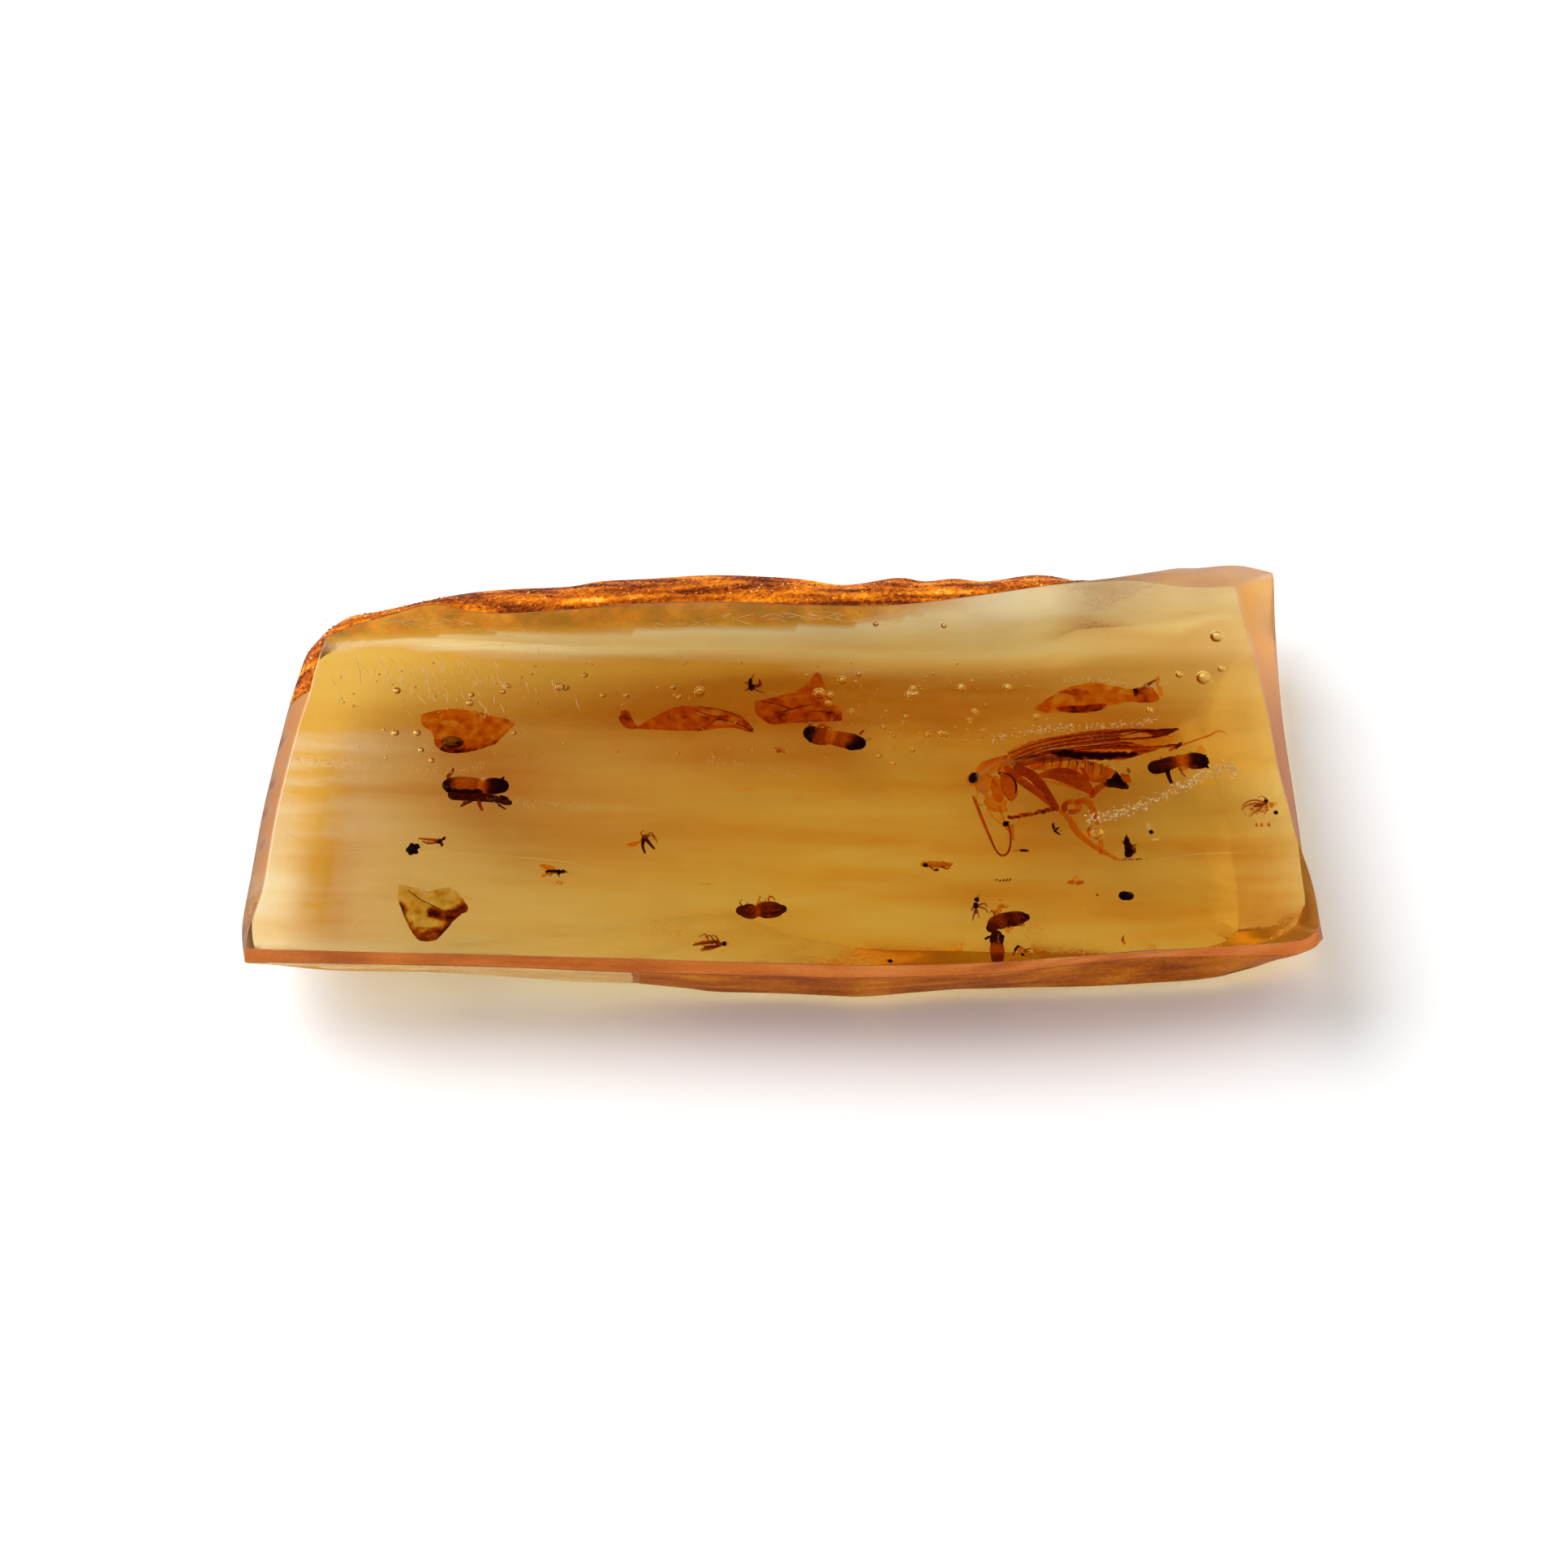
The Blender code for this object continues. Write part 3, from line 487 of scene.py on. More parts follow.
copalSlab = {
    # Points round each ring, for each run from the front left corner round to it again
    "runs": {"frontLeft": 56, "front": 100, "right": 72, "rear": 190, "shoulder": 20, "left": 56},
    "faceEdge": {
        "frontLeft": [(-44.1, -19.9), (-37.6, -20.1), (-24.3, -20.5), (-12.0, -20.9)],
        "front": [(-12.0, -20.9), (-1.1, -21.3), (6.9, -21.5), (15.5, -21.3), (25.5, -20.5),
                  (35.5, -19.7), (41.6, -19.2), (43.2, -18.6), (44.0, -17.6)],
        "right": [(44.0, -17.6), (43.9, -15.2), (43.5, -12.3), (42.7, -8.5), (42.3, -5.7),
                  (41.7, -1.6), (41.2, 4.5), (40.3, 11.0), (39.7, 14.7), (39.4, 17.6)],
        "rear": [(39.4, 17.6), (35.3, 17.5), (30.9, 18.2), (27.0, 18.1), (23.7, 17.8), (16.5, 16.5),
                 (9.5, 15.5), (2.4, 15.5), (-4.7, 15.8), (-11.7, 15.7), (-18.8, 15.0),
                 (-25.8, 14.6), (-30.4, 15.6), (-33.8, 14.6), (-37.2, 13.3), (-39.6, 12.0)],
        "shoulder": [(-39.6, 12.0), (-40.2, 9.0), (-40.6, 6.0)],
        "left": [(-40.6, 6.0), (-41.5, 1.2), (-42.5, -6.5), (-43.0, -13.9), (-43.9, -17.7),
                 (-44.1, -19.9)],
    },
    "rim": {
        "frontLeft": [(-44.4, -19.6, 8.0), (-37.8, -19.7, 8.0), (-24.4, -20.0, 8.0), (-12.0, -20.6, 8.0)],
        "front": [(-12.0, -20.6, 8.0), (-1.1, -20.9, 8.0), (6.9, -21.1, 8.0), (17.7, -20.6, 8.0),
                  (29.0, -19.2, 8.0), (40.5, -18.7, 7.8), (43.4, -18.1, 7.5), (44.7, -16.8, 7.2)],
        "right": [(44.7, -16.8, 7.2), (44.2, -13.5, 6.9), (43.8, -10.5, 6.5), (43.8, -7.6, 6.2),
                  (43.6, -1.2, 5.7), (43.3, 6.9, 5.2), (43.4, 16.0, 4.8), (43.2, 20.9, 8.2)],
        "rear": [(43.1, 20.9, 8.2), (40.0, 21.5, 8.5), (36.4, 21.2, 8.5), (34.1, 21.1, 8.5),
                 (30.0, 20.0, 8.5), (26.9, 19.5, 8.5), (22.5, 20.4, 8.5), (17.9, 19.7, 8.5),
                 (15.0, 20.0, 8.5), (12.4, 19.7, 8.5), (10.0, 20.1, 8.5), (5.4, 19.3, 8.5),
                 (1.1, 20.0, 8.5), (-5.9, 20.4, 8.5), (-11.7, 20.0, 8.5), (-16.1, 19.7, 8.5),
                 (-19.0, 19.1, 8.5), (-24.3, 18.8, 8.5), (-28.6, 18.2, 8.5), (-34.7, 16.5, 8.5),
                 (-38.0, 15.7, 8.5), (-39.9, 14.0, 8.5)],
        "shoulder": [(-39.9, 14.0, 8.5), (-41.3, 11.8, 8.6), (-42.0, 8.9, 8.6), (-42.6, 5.7, 8.6)],
        "left": [(-42.6, 5.7, 8.6), (-43.4, -0.2, 8.6), (-44.0, -5.4, 8.6), (-44.4, -10.8, 8.6),
                 (-44.8, -16.5, 8.6), (-44.4, -19.6, 8.0)],
    },
    "crease": {
        "frontLeft": [(-43.6, -18.7, 6.5), (-38.0, -18.9, 5.8), (-31.0, -18.6, 4.9),
                      (-24.0, -18.3, 3.9), (-17.0, -18.1, 2.9), (-12.0, -18.0, 2.3)],
        "front": [(-12.0, -18.0, 2.3), (-8.0, -18.1, 1.6), (-5.4, -18.2, 1.2), (1.0, -18.3, 1.1),
                  (6.8, -18.6, 1.1), (14.0, -18.0, 1.1), (22.0, -17.8, 1.2), (34.4, -17.2, 1.4),
                  (38.0, -16.7, 1.7), (41.0, -15.8, 2.1), (43.0, -14.6, 2.6)],
        "right": [(43.0, -14.6, 2.6), (43.7, -12.2, 2.4), (43.6, -8.5, 2.3), (43.4, -3.5, 2.2),
                  (43.0, 4.5, 2.2), (42.8, 11.5, 2.6), (42.4, 17.0, 3.6)],
        "rear": [(42.4, 17.0, 3.6), (38.0, 17.5, 3.0), (31.0, 16.5, 2.2), (26.0, 16.1, 2.0),
                 (22.5, 14.7, 1.6), (16.7, 14.2, 1.5), (9.5, 14.3, 1.5), (-4.7, 14.6, 1.8),
                 (-13.0, 14.4, 2.4), (-22.5, 14.3, 3.5), (-30.0, 14.4, 4.6), (-35.0, 13.9, 5.4),
                 (-38.6, 12.9, 6.0)],
        "shoulder": [(-38.6, 12.9, 6.0), (-40.3, 11.4, 6.2), (-41.3, 9.0, 6.2)],
        "left": [(-41.3, 9.0, 6.2), (-42.3, 4.5, 6.1), (-43.0, -1.5, 5.9), (-43.6, -7.5, 6.2),
                 (-44.0, -12.5, 6.4), (-44.0, -16.3, 6.5), (-43.6, -18.7, 6.5)],
    },
    "restEdge": {
        "frontLeft": [(-3.0, -12.2), (-2.0, -13.2)],
        "front": [(-2.0, -13.2), (0.5, -14.3), (4.0, -15.3), (8.0, -16.0), (14.2, -16.2),
                  (27.3, -16.5), (33.4, -16.1), (36.4, -15.5), (38.0, -14.2)],
        "right": [(38.0, -14.2), (38.2, -9.5), (37.6, -3.5), (36.8, 2.5), (35.6, 7.6)],
        "rear": [(35.6, 7.6), (29.0, 8.2), (20.0, 7.8), (13.0, 7.4), (7.5, 6.6), (4.0, 5.6)],
        "shoulder": [(4.0, 5.6), (2.4, 4.6)],
        "left": [(2.4, 4.6), (1.6, 1.5), (0.4, -3.5), (-1.0, -9.0), (-3.0, -12.2)],
    },
    "flankRings": 14,
    "bellyRings": 30,
    "restRings": 6,
    "bellyCurve": 0.92,     # how the belly rises from the flat; less than 1 is domed
    "skinWave": 0.20,       # height of the natural skin's waves
    "skinRipple": 0.06,
}


def ringOf(edge, height=None):
    points = []
    for run, count in copalSlab["runs"].items():
        design = [p if height is None else (*p[:2], height) for p in edge[run]]
        line = smoothLine(design, 10)
        points += [alongLine(line, i / count) for i in range(count)]
    return points


def skinShift(point, amount):
    # waves of the natural skin, drawn out along the slab as the resin flowed
    slow = noise.noise_vector(Vector((point.x / 16, point.y / 4.5, point.z / 5)))
    fast = noise.noise_vector(Vector((point.x / 4.0, point.y / 1.5, point.z / 1.8)))
    return slow * copalSlab["skinWave"] * amount + fast * copalSlab["skinRipple"] * amount


def slabRings():
    # rings from the polished face down to the flat, each with how much skin, ground face and
    # crust it has
    spec = copalSlab
    face = ringOf(spec["faceEdge"], view["faceHeight"])
    rim = ringOf(spec["rim"])
    crease = ringOf(spec["crease"])
    rest = ringOf(spec["restEdge"], 0.0)
    centre = sum(face, Vector()) / len(face)
    rings = []

    def add(points, shift=0.0, skin=0.0, wall=0.0, belly=0.0):
        rings.append(([p + skinShift(p, shift) for p in points], skin, wall, belly))

    inset = [p + (centre - p).normalized() * 0.12 for p in face]
    add(inset)
    add([p.lerp(q, 0.02) for p, q in zip(face, inset)], wall=0.6)
    for share in (0.12, 0.3, 0.5, 0.7, 0.88):
        row = []
        for p, q in zip(face, rim):
            spot = p.lerp(q, share)
            spot.z += 0.28 * math.sin(math.pi * share) * min(1.0, math.hypot(p.x - q.x, p.y - q.y) / 3)
            row.append(spot)
        add(row, shift=0.25 * math.sin(math.pi * share), wall=1.0)
    add(rim, wall=1.0)
    for i in range(1, spec["flankRings"]):
        share = i / spec["flankRings"]
        row = []
        for p, q in zip(rim, crease):
            spot = p.lerp(q, share)
            spot.z -= 0.05 * math.hypot(p.x - q.x, p.y - q.y) * math.sin(math.pi * share)
            row.append(spot)
        add(row, shift=min(1.0, 4 * share), skin=1.0, belly=0.25 + 0.6 * share)
    for i in range(spec["bellyRings"]):
        share = i / spec["bellyRings"]
        row = []
        for p, q in zip(crease, rest):
            spot = p.lerp(q, share)
            spot.z = q.z + (p.z - q.z) * (1 - share) ** spec["bellyCurve"]
            row.append(spot)
        add(row, shift=0.9 * (1 - 0.4 * share), skin=1.0, belly=min(1.0, 0.85 + 2 * share))
    middle = sum(rest, Vector()) / len(rest)
    for i in range(spec["restRings"]):
        share = i / spec["restRings"]
        row = [p.lerp(middle, share) for p in rest]
        rings.append(([Vector((p.x, p.y, 0.12 * share * (0.5 + noise.noise(p / 5)))) for p in row], 1.0, 0.0, 1.0))
    return rings


def crustAt(point, wall, run):
    # orange-brown crust: all along the rear shelf, in patches on the left edge
    patch = noise.noise(Vector((point.x / 2.2, point.y / 2.2, point.z / 2.2)))
    if run == "rear":
        chunk = max(0.0, min(1.0, (point.x - 24) / 6))
        return wall * (0.95 - 0.6 * chunk)
    if run == "shoulder":
        return wall * 0.5
    if run == "left":
        return wall * max(0.0, min(1.0, 3 * (patch - 0.02)))
    return 0.0


def heightAt(line, x):
    # a line's y at x
    for (x0, y0), (x1, y1) in zip(line, line[1:]):
        if x0 <= x <= x1:
            return y0 + (y1 - y0) * (x - x0) / (x1 - x0)
    return None


# Where the underside is painted a deeper gold, as pixels of the photograph: middle, reach, amount. This is partly
# painted shade of the floor seen through the slab; the second list paints light where the lit floor shows through.
stainAndShadePatches = [
    ((620, 850), (420, 52), 0.85), ((470, 830), (130, 70), 1.0), ((395, 1010), (42, 130), 0.75),
    ((392, 1100), (40, 60), 0.8), ((330, 1000), (48, 230), 0.45), ((860, 850), (260, 50), 0.45),
    ((560, 950), (180, 36), 0.30), ((1190, 870), (200, 55), 0.30), ((1400, 900), (150, 50), 0.30),
    ((640, 1000), (110, 44), 0.45), ((1230, 960), (90, 26), 0.35), ((1060, 1030), (120, 22), 0.25),
    ((1330, 1100), (190, 26), 0.30), ((1560, 1080), (60, 80), 0.35), ((1600, 1140), (40, 40), 0.4),
    ((760, 1020), (120, 30), 0.3), ((480, 975), (110, 12), 0.4), ((1480, 1050), (110, 12), 0.35),
    ((900, 935), (330, 14), 0.35), ((1000, 985), (260, 10), 0.25),
]
paintedLightPatches = [((860, 790), (330, 16), 0.8), ((1180, 795), (160, 26), 0.7), ((560, 1090), (330, 30), 0.5)]


# Lines of pixels: the bottom and top of the painted light band below the rear edge, and a painted step in shade across
# the middle
litBandBottom = [(300, 830), (420, 806), (620, 798), (900, 799), (1290, 804), (1302, 772), (1350, 766), (1400, 769),
            (1460, 774), (1500, 757), (1620, 745)]
litBandTop = [(300, 800), (560, 780), (760, 777), (1040, 770), (1200, 748), (1300, 735), (1620, 715)]
shadeStepLine = [(300, 893), (1035, 893), (1200, 905), (1620, 905)]


# Painted shade and painted light on the underside: lighter in the band below the rear edge, darker above and below it,
# as an amount from 0 to 1
def stainAndShadeAt(point):
    u, v = pixelOf(point)
    total = 0.0
    for line, amount, fade in ((litBandBottom, 0.5, 130), (shadeStepLine, -0.22, 60)):
        edge = heightAt(line, min(max(u, 301), 1619))
        if v > edge:
            total += amount * min(1.0, (v - edge) / 9) * math.exp((edge - v) / fade)
        elif amount > 0:
            inBand = v > heightAt(litBandTop, min(max(u, 301), 1619))
            total += -0.7 * min(1.0, max(0.0, (u - 480) / 120)) if inBand else 1.1 * min(1.0, max(0.0, (1240 - u) / 200))
    for patches, sign in ((stainAndShadePatches, 1), (paintedLightPatches, -1)):
        for centre, reach, amount in patches:
            total += sign * amount * math.exp(-((u - centre[0]) / reach[0]) ** 2 - ((v - centre[1]) / reach[1]) ** 2)
    streak = 0.5 + noise.noise(Vector((u / 190, v / 11, 3.0)))
    return max(0.0, min(1.0, total * (0.75 + 0.5 * streak)))


def keelShadeOrCrust(point, run):
    # painted shade brown along the keel at the front; crust gold where the rear flank shows below the rear edge
    if run in ("front", "frontLeft"):
        return 0.4
    if run not in ("rear", "shoulder"):
        return 0.0
    u, v = pixelOf(point)
    above = heightAt(litBandTop, min(max(u, 301), 1619)) - v
    return 0.65 * max(0.0, min(1.0, above / 10)) * max(0.0, min(1.0, (1240 - u) / 200))


def copalSlabMesh(bubbleMesh):
    rings = slabRings()
    runs = [run for run, count in copalSlab["runs"].items() for _ in range(count)]
    bm = bmesh.new()
    layers = {name: bm.verts.layers.float.new(name) for name in ("skin", "ground", "crust", "stainAndShade")}
    loops = []
    for points, skin, wall, belly in rings:
        loop = []
        for point, run in zip(points, runs):
            point.z = min(max(point.z, 0.0), view["faceHeight"])
            vert = bm.verts.new(point)
            crust = crustAt(point, wall, run)
            vert[layers["skin"]] = skin
            # the crust attribute also carries the painted shade along the front keel
            vert[layers["crust"]] = max(crust, keelShadeOrCrust(point, run) if skin > belly else 0.0)
            vert[layers["ground"]] = max(0.0, wall - crust) if wall else skin - belly
            vert[layers["stainAndShade"]] = stainAndShadeAt(point) if skin else 0.0
            loop.append(vert)
        loops.append(loop)
    count = len(loops[0])
    for upper, lower in zip(loops, loops[1:]):
        for i in range(count):
            j = (i + 1) % count
            bm.faces.new((upper[i], lower[i], lower[j], upper[j]))
    top = bm.faces.new(loops[0])
    bottom = bm.faces.new(list(reversed(loops[-1])))
    bmesh.ops.poke(bm, faces=[top, bottom])
    bm.verts.ensure_lookup_table()
    for vert in bm.verts[-1:]:
        vert[layers["skin"]] = 1.0
    bm.from_mesh(bubbleMesh)
    return bm


# Thin, nearly opaque skins just outside the copal: the weathered crust of the rear, painted orange glow on the ground
# front edge, painted dark shade on the front keel and a gold sheet on the front left flank

sideSkins = {
    "rear_crust": {
        "material": "weathered resin crust, orange-brown", "runs": ("rear", "shoulder"), "endAt": 25.0,
        "between": ("face", "rim"), "bulge": 0.28, "across": 16, "grit": 0.11, "sparkle": 0.12,
        "grains": 520, "grainSize": (0.04, 0.12), "transmission": 0.0, "mottle": 1.1,
        "stops": [(0.1, "5E2002"), (0.32, "A24A04"), (0.5, "CE6E0A"), (0.7, "F09A20"), (0.92, "FFE08C")],
    },
    # painted orange glow over the ground front edge, for amber light carried through the resin
    "ground_edge_glow": {
        "material": "ground resin edge, painted orange glow", "runs": ("frontLeft", "front"), "endAt": 50.0,
        "between": ("face", "rim"), "bulge": 0.28, "across": 8, "grit": 0.0, "sparkle": 0.02,
        "grains": 0, "grainSize": (0.03, 0.05), "transmission": 0.45, "mottle": 0.5,
        "stops": [(0.1, "D07020"), (0.4, "F09238"), (0.7, "FFB45C")],
    },
    # painted dark amber shade over the front keel
    "keel_shade_skin": {
        "material": "resin keel, painted dark amber shade", "runs": ("front",), "endAt": 50.0,
        "between": ("rim", "crease"), "bulge": 0.0, "across": 12, "grit": 0.03, "sparkle": 0.04,
        "grains": 0, "grainSize": (0.03, 0.05), "transmission": 0.1, "mottle": 0.7,
        "stops": [(0.1, "8E3C02"), (0.4, "C46606"), (0.75, "EE9A24")],
    },
    # a gold sheet over the front left flank, below the rim
    "left_flank_skin": {
        "material": "resin flank, gold", "runs": ("frontLeft",), "endAt": 50.0,
        "between": ("rim", "crease"), "bulge": 0.0, "across": 12, "grit": 0.03, "sparkle": 0.04,
        "grains": 0, "grainSize": (0.03, 0.05), "transmission": 0.4, "mottle": 0.5,
        "stops": [(0.1, "D08E2C"), (0.4, "EDB64C"), (0.75, "FFDC8C")],
    },
}


def skinMaterial(spec):
    material, tree, shader = newMaterial(spec["material"])
    place = node(tree, "ShaderNodeTexCoord").outputs["Object"]
    tone = node(tree, "ShaderNodeAttribute", attribute_name="tone").outputs["Fac"]
    drawnOut = node(tree, "ShaderNodeMapping", {"Scale": (0.25, 1.0, 1.0)}, {"Vector": place})
    clouds = node(tree, "ShaderNodeTexNoise", {"Scale": 0.7 / mm, "Detail": 6.0}, {"Vector": drawnOut.outputs[0]})
    grit = node(tree, "ShaderNodeTexVoronoi", {"Scale": 3.2 / mm}, {"Vector": place})
    mixed = node(tree, "ShaderNodeMath", {1: spec["mottle"]}, {0: clouds.outputs["Fac"], 2: tone},
                 operation="MULTIPLY_ADD")
    mixed = node(tree, "ShaderNodeMath", {1: 0.32 * spec["mottle"]}, {0: grit.outputs["Color"], 2: mixed.outputs[0]},
                 operation="MULTIPLY_ADD")
    mixed = node(tree, "ShaderNodeMath", {1: 0.65 * spec["mottle"]}, {0: mixed.outputs[0]}, operation="SUBTRACT")
    ramp = node(tree, "ShaderNodeValToRGB", links={"Fac": mixed.outputs[0]}, stops=spec["stops"])
    bump = node(tree, "ShaderNodeBump", {"Distance": spec["sparkle"] * mm, "Strength": 0.9},
                {"Height": grit.outputs["Distance"]})
    tree.links.new(ramp.outputs["Color"], shader.inputs["Base Color"])
    tree.links.new(bump.outputs[0], shader.inputs["Normal"])
    shader.inputs["Transmission Weight"].default_value = spec["transmission"]
    shader.inputs["IOR"].default_value = 1.1
    shader.inputs["Roughness"].default_value = 0.45
    return material


def buildSideSkin(name, spec):
    edges = {"face": ringOf(copalSlab["faceEdge"], view["faceHeight"]), "rim": ringOf(copalSlab["rim"]),
             "crease": ringOf(copalSlab["crease"])}
    upper, lower = (edges[key] for key in spec["between"])
    runs = [run for run, count in copalSlab["runs"].items() for _ in range(count)]
    centre = sum(edges["face"], Vector()) / len(edges["face"])
    top = []
    bottom = []
    tones = []
    for p, q, run in zip(upper, lower, runs):
        if run not in spec["runs"] or p.x > spec["endAt"]:
            continue
        outwards = (Vector((p.x, p.y, 0)) - Vector((centre.x, centre.y - 6 * math.copysign(1, p.y), 0))).normalized()
        outer = []
        for j in range(spec["across"] + 1):
            share = 0.02 + 0.96 * j / spec["across"]
            spot = p.lerp(q, share)
            arch = math.sin(math.pi * share)
            spot.z += spec["bulge"] * arch * min(1.0, math.hypot(p.x - q.x, p.y - q.y) / 3)
            if spec["between"][0] == "rim":
                spot.z -= 0.05 * math.hypot(p.x - q.x, p.y - q.y) * arch
                spot += skinShift(spot, min(1.0, 4 * share)) + outwards * 0.05
            else:
                spot += skinShift(spot, 0.25 * arch) + outwards * 0.03
                spot.z += 0.04 + spec["grit"] * arch * (0.6 + noise.noise(spot * 3.1))
            spot.z = min(spot.z, view["faceHeight"])
            outer.append(spot)
        top.append(outer)
        bottom.append([s - outwards * 0.02 - Vector((0, 0, 0.03)) for s in outer])
        tones.append([0.34 + 0.34 * noise.noise(Vector((s.x / 5, s.y / 0.7, 1.0))) for s in outer])
    bm = newBmesh()
    addGrid(bm, top, bottom, tones)
    draw = random.Random(23)
    # dark and orange grains are the crust's grit; the pale ones are painted glints of its sparkle
    for _ in range(spec["grains"]):
        spot = alongLine(draw.choice(top), draw.uniform(0.05, 0.95))
        addSpecks(bm, (spot.x, spot.y, min(spot.z, 10.4)), (0, 0, 0), 1, spec["grainSize"],
                  draw.choice((0.02, 0.6, 0.8)), draw.random())
    finishPiece(name, bm, skinMaterial(spec))


# Bubbles, as voids of the slab

bubbleSet = {
    "seed": 7,
    "detail": 2,
    "heights": (5.2, 8.4),
    # pixel of the photograph and radius in pixels
    "seenAt": [
        (489, 851, 4), (579, 866, 4), (487, 903, 4), (514, 903, 4), (690, 846, 5), (697, 847, 4),
        (743, 857, 3), (772, 857, 3), (633, 903, 3), (620, 852, 3), (581, 856, 3), (721, 832, 3),
        (625, 845, 3), (519, 924, 3), (532, 937, 3), (830, 847, 3), (837, 859, 3), (862, 852, 6),
        (1009, 855, 7), (1023, 857, 5), (1020, 867, 4), (1038, 838, 5), (1058, 830, 3),
        (1049, 877, 4), (1089, 895, 4), (1097, 903, 3), (1102, 905, 3), (1116, 883, 3),
        (1113, 890, 3), (1120, 856, 5), (1128, 856, 4), (1125, 849, 4), (1125, 924, 3),
        (1084, 931, 3), (1101, 941, 3), (1122, 855, 4), (1142, 905, 4), (1159, 904, 4),
        (1164, 905, 4), (1201, 877, 4), (1194, 887, 3), (1211, 900, 3), (1184, 848, 5),
        (1241, 848, 5), (1277, 883, 4), (1059, 831, 3), (1079, 769, 3), (1163, 771, 3),
        (1349, 1026, 9), (1499, 784, 7), (1483, 835, 8), (1453, 831, 4), (1505, 824, 4), (1416, 875, 4),
    ],
    "fine": 150,                        # specks of gas too small to place one by one
    "fineBox": ((420, 1290), (815, 935)),
    "fineRadius": (0.06, 0.15),
}


def bubbleTree(material):
    # Geometry Nodes: a small sphere on each point, as large as the point's own radius
    tree = bpy.data.node_groups.new("bubbles in resin", "GeometryNodeTree")
    tree.interface.new_socket("Geometry", in_out="INPUT", socket_type="NodeSocketGeometry")
    tree.interface.new_socket("Roundness", in_out="INPUT", socket_type="NodeSocketInt")
    tree.interface.new_socket("Size", in_out="INPUT", socket_type="NodeSocketFloat")
    tree.interface.new_socket("Geometry", in_out="OUTPUT", socket_type="NodeSocketGeometry")
    given = node(tree, "NodeGroupInput")
    result = node(tree, "NodeGroupOutput")
    radius = node(tree, "GeometryNodeInputNamedAttribute", {"Name": "radius"}, data_type="FLOAT")
    size = node(tree, "ShaderNodeMath", {}, {0: radius.outputs["Attribute"], 1: given.outputs["Size"]},
                operation="MULTIPLY")
    ball = node(tree, "GeometryNodeMeshIcoSphere", {"Radius": mm},
                {"Subdivisions": given.outputs["Roundness"]})
    placed = node(tree, "GeometryNodeInstanceOnPoints", {},
                  {"Points": given.outputs["Geometry"], "Instance": ball.outputs["Mesh"],
                   "Scale": size.outputs[0]})
    real = node(tree, "GeometryNodeRealizeInstances", {}, {"Geometry": placed.outputs["Instances"]})
    inward = node(tree, "GeometryNodeFlipFaces", {}, {"Mesh": real.outputs["Geometry"]})
    skinned = node(tree, "GeometryNodeSetMaterial", {"Material": material},
                   {"Geometry": inward.outputs["Mesh"]})
    tree.links.new(skinned.outputs["Geometry"], result.inputs["Geometry"])
    return tree


def bubbleVoids(material):
    spec = bubbleSet
    draw = random.Random(spec["seed"])
    pixelsPerMm = 14.6
    points = []
    radii = []
    for u, v, size in spec["seenAt"]:
        points.append(seenInside(u, v, draw.uniform(*spec["heights"])) * mm)
        radii.append(1.3 * size / pixelsPerMm)
    (left, right), (top, bottom) = spec["fineBox"]
    for _ in range(spec["fine"]):
        u = draw.uniform(left, right)
        v = draw.uniform(top, bottom)
        points.append(seenInside(u, v, draw.uniform(*spec["heights"])) * mm)
        radii.append(draw.uniform(*spec["fineRadius"]))
    mesh = bpy.data.meshes.new("bubblePoints")
    mesh.from_pydata(points, [], [])
    mesh.attributes.new("radius", "FLOAT", "POINT").data.foreach_set("value", radii)
    holder = bpy.data.objects.new("bubblePoints", mesh)
    bpy.context.scene.collection.objects.link(holder)
    tree = bubbleTree(material)
    modifier = holder.modifiers.new("bubbles", "NODES")
    modifier.node_group = tree
    sockets = {item.name: item.identifier for item in tree.interface.items_tree if item.in_out == "INPUT"}
    modifier[sockets["Roundness"]] = spec["detail"]
    modifier[sockets["Size"]] = 1.0
    depsgraph = bpy.context.evaluated_depsgraph_get()
    made = bpy.data.meshes.new_from_object(holder.evaluated_get(depsgraph))
    made.transform(Matrix.Scale(1 / mm, 4))
    bpy.data.objects.remove(holder)
    return made


# Cockroach

chitinStops = [(0.0, "180804"), (0.15, "501804"), (0.32, "B04C06"), (0.5, "E88814"), (0.68, "FFC03C"),
               (0.85, "FFE488"), (1.0, "FFF8EC")]

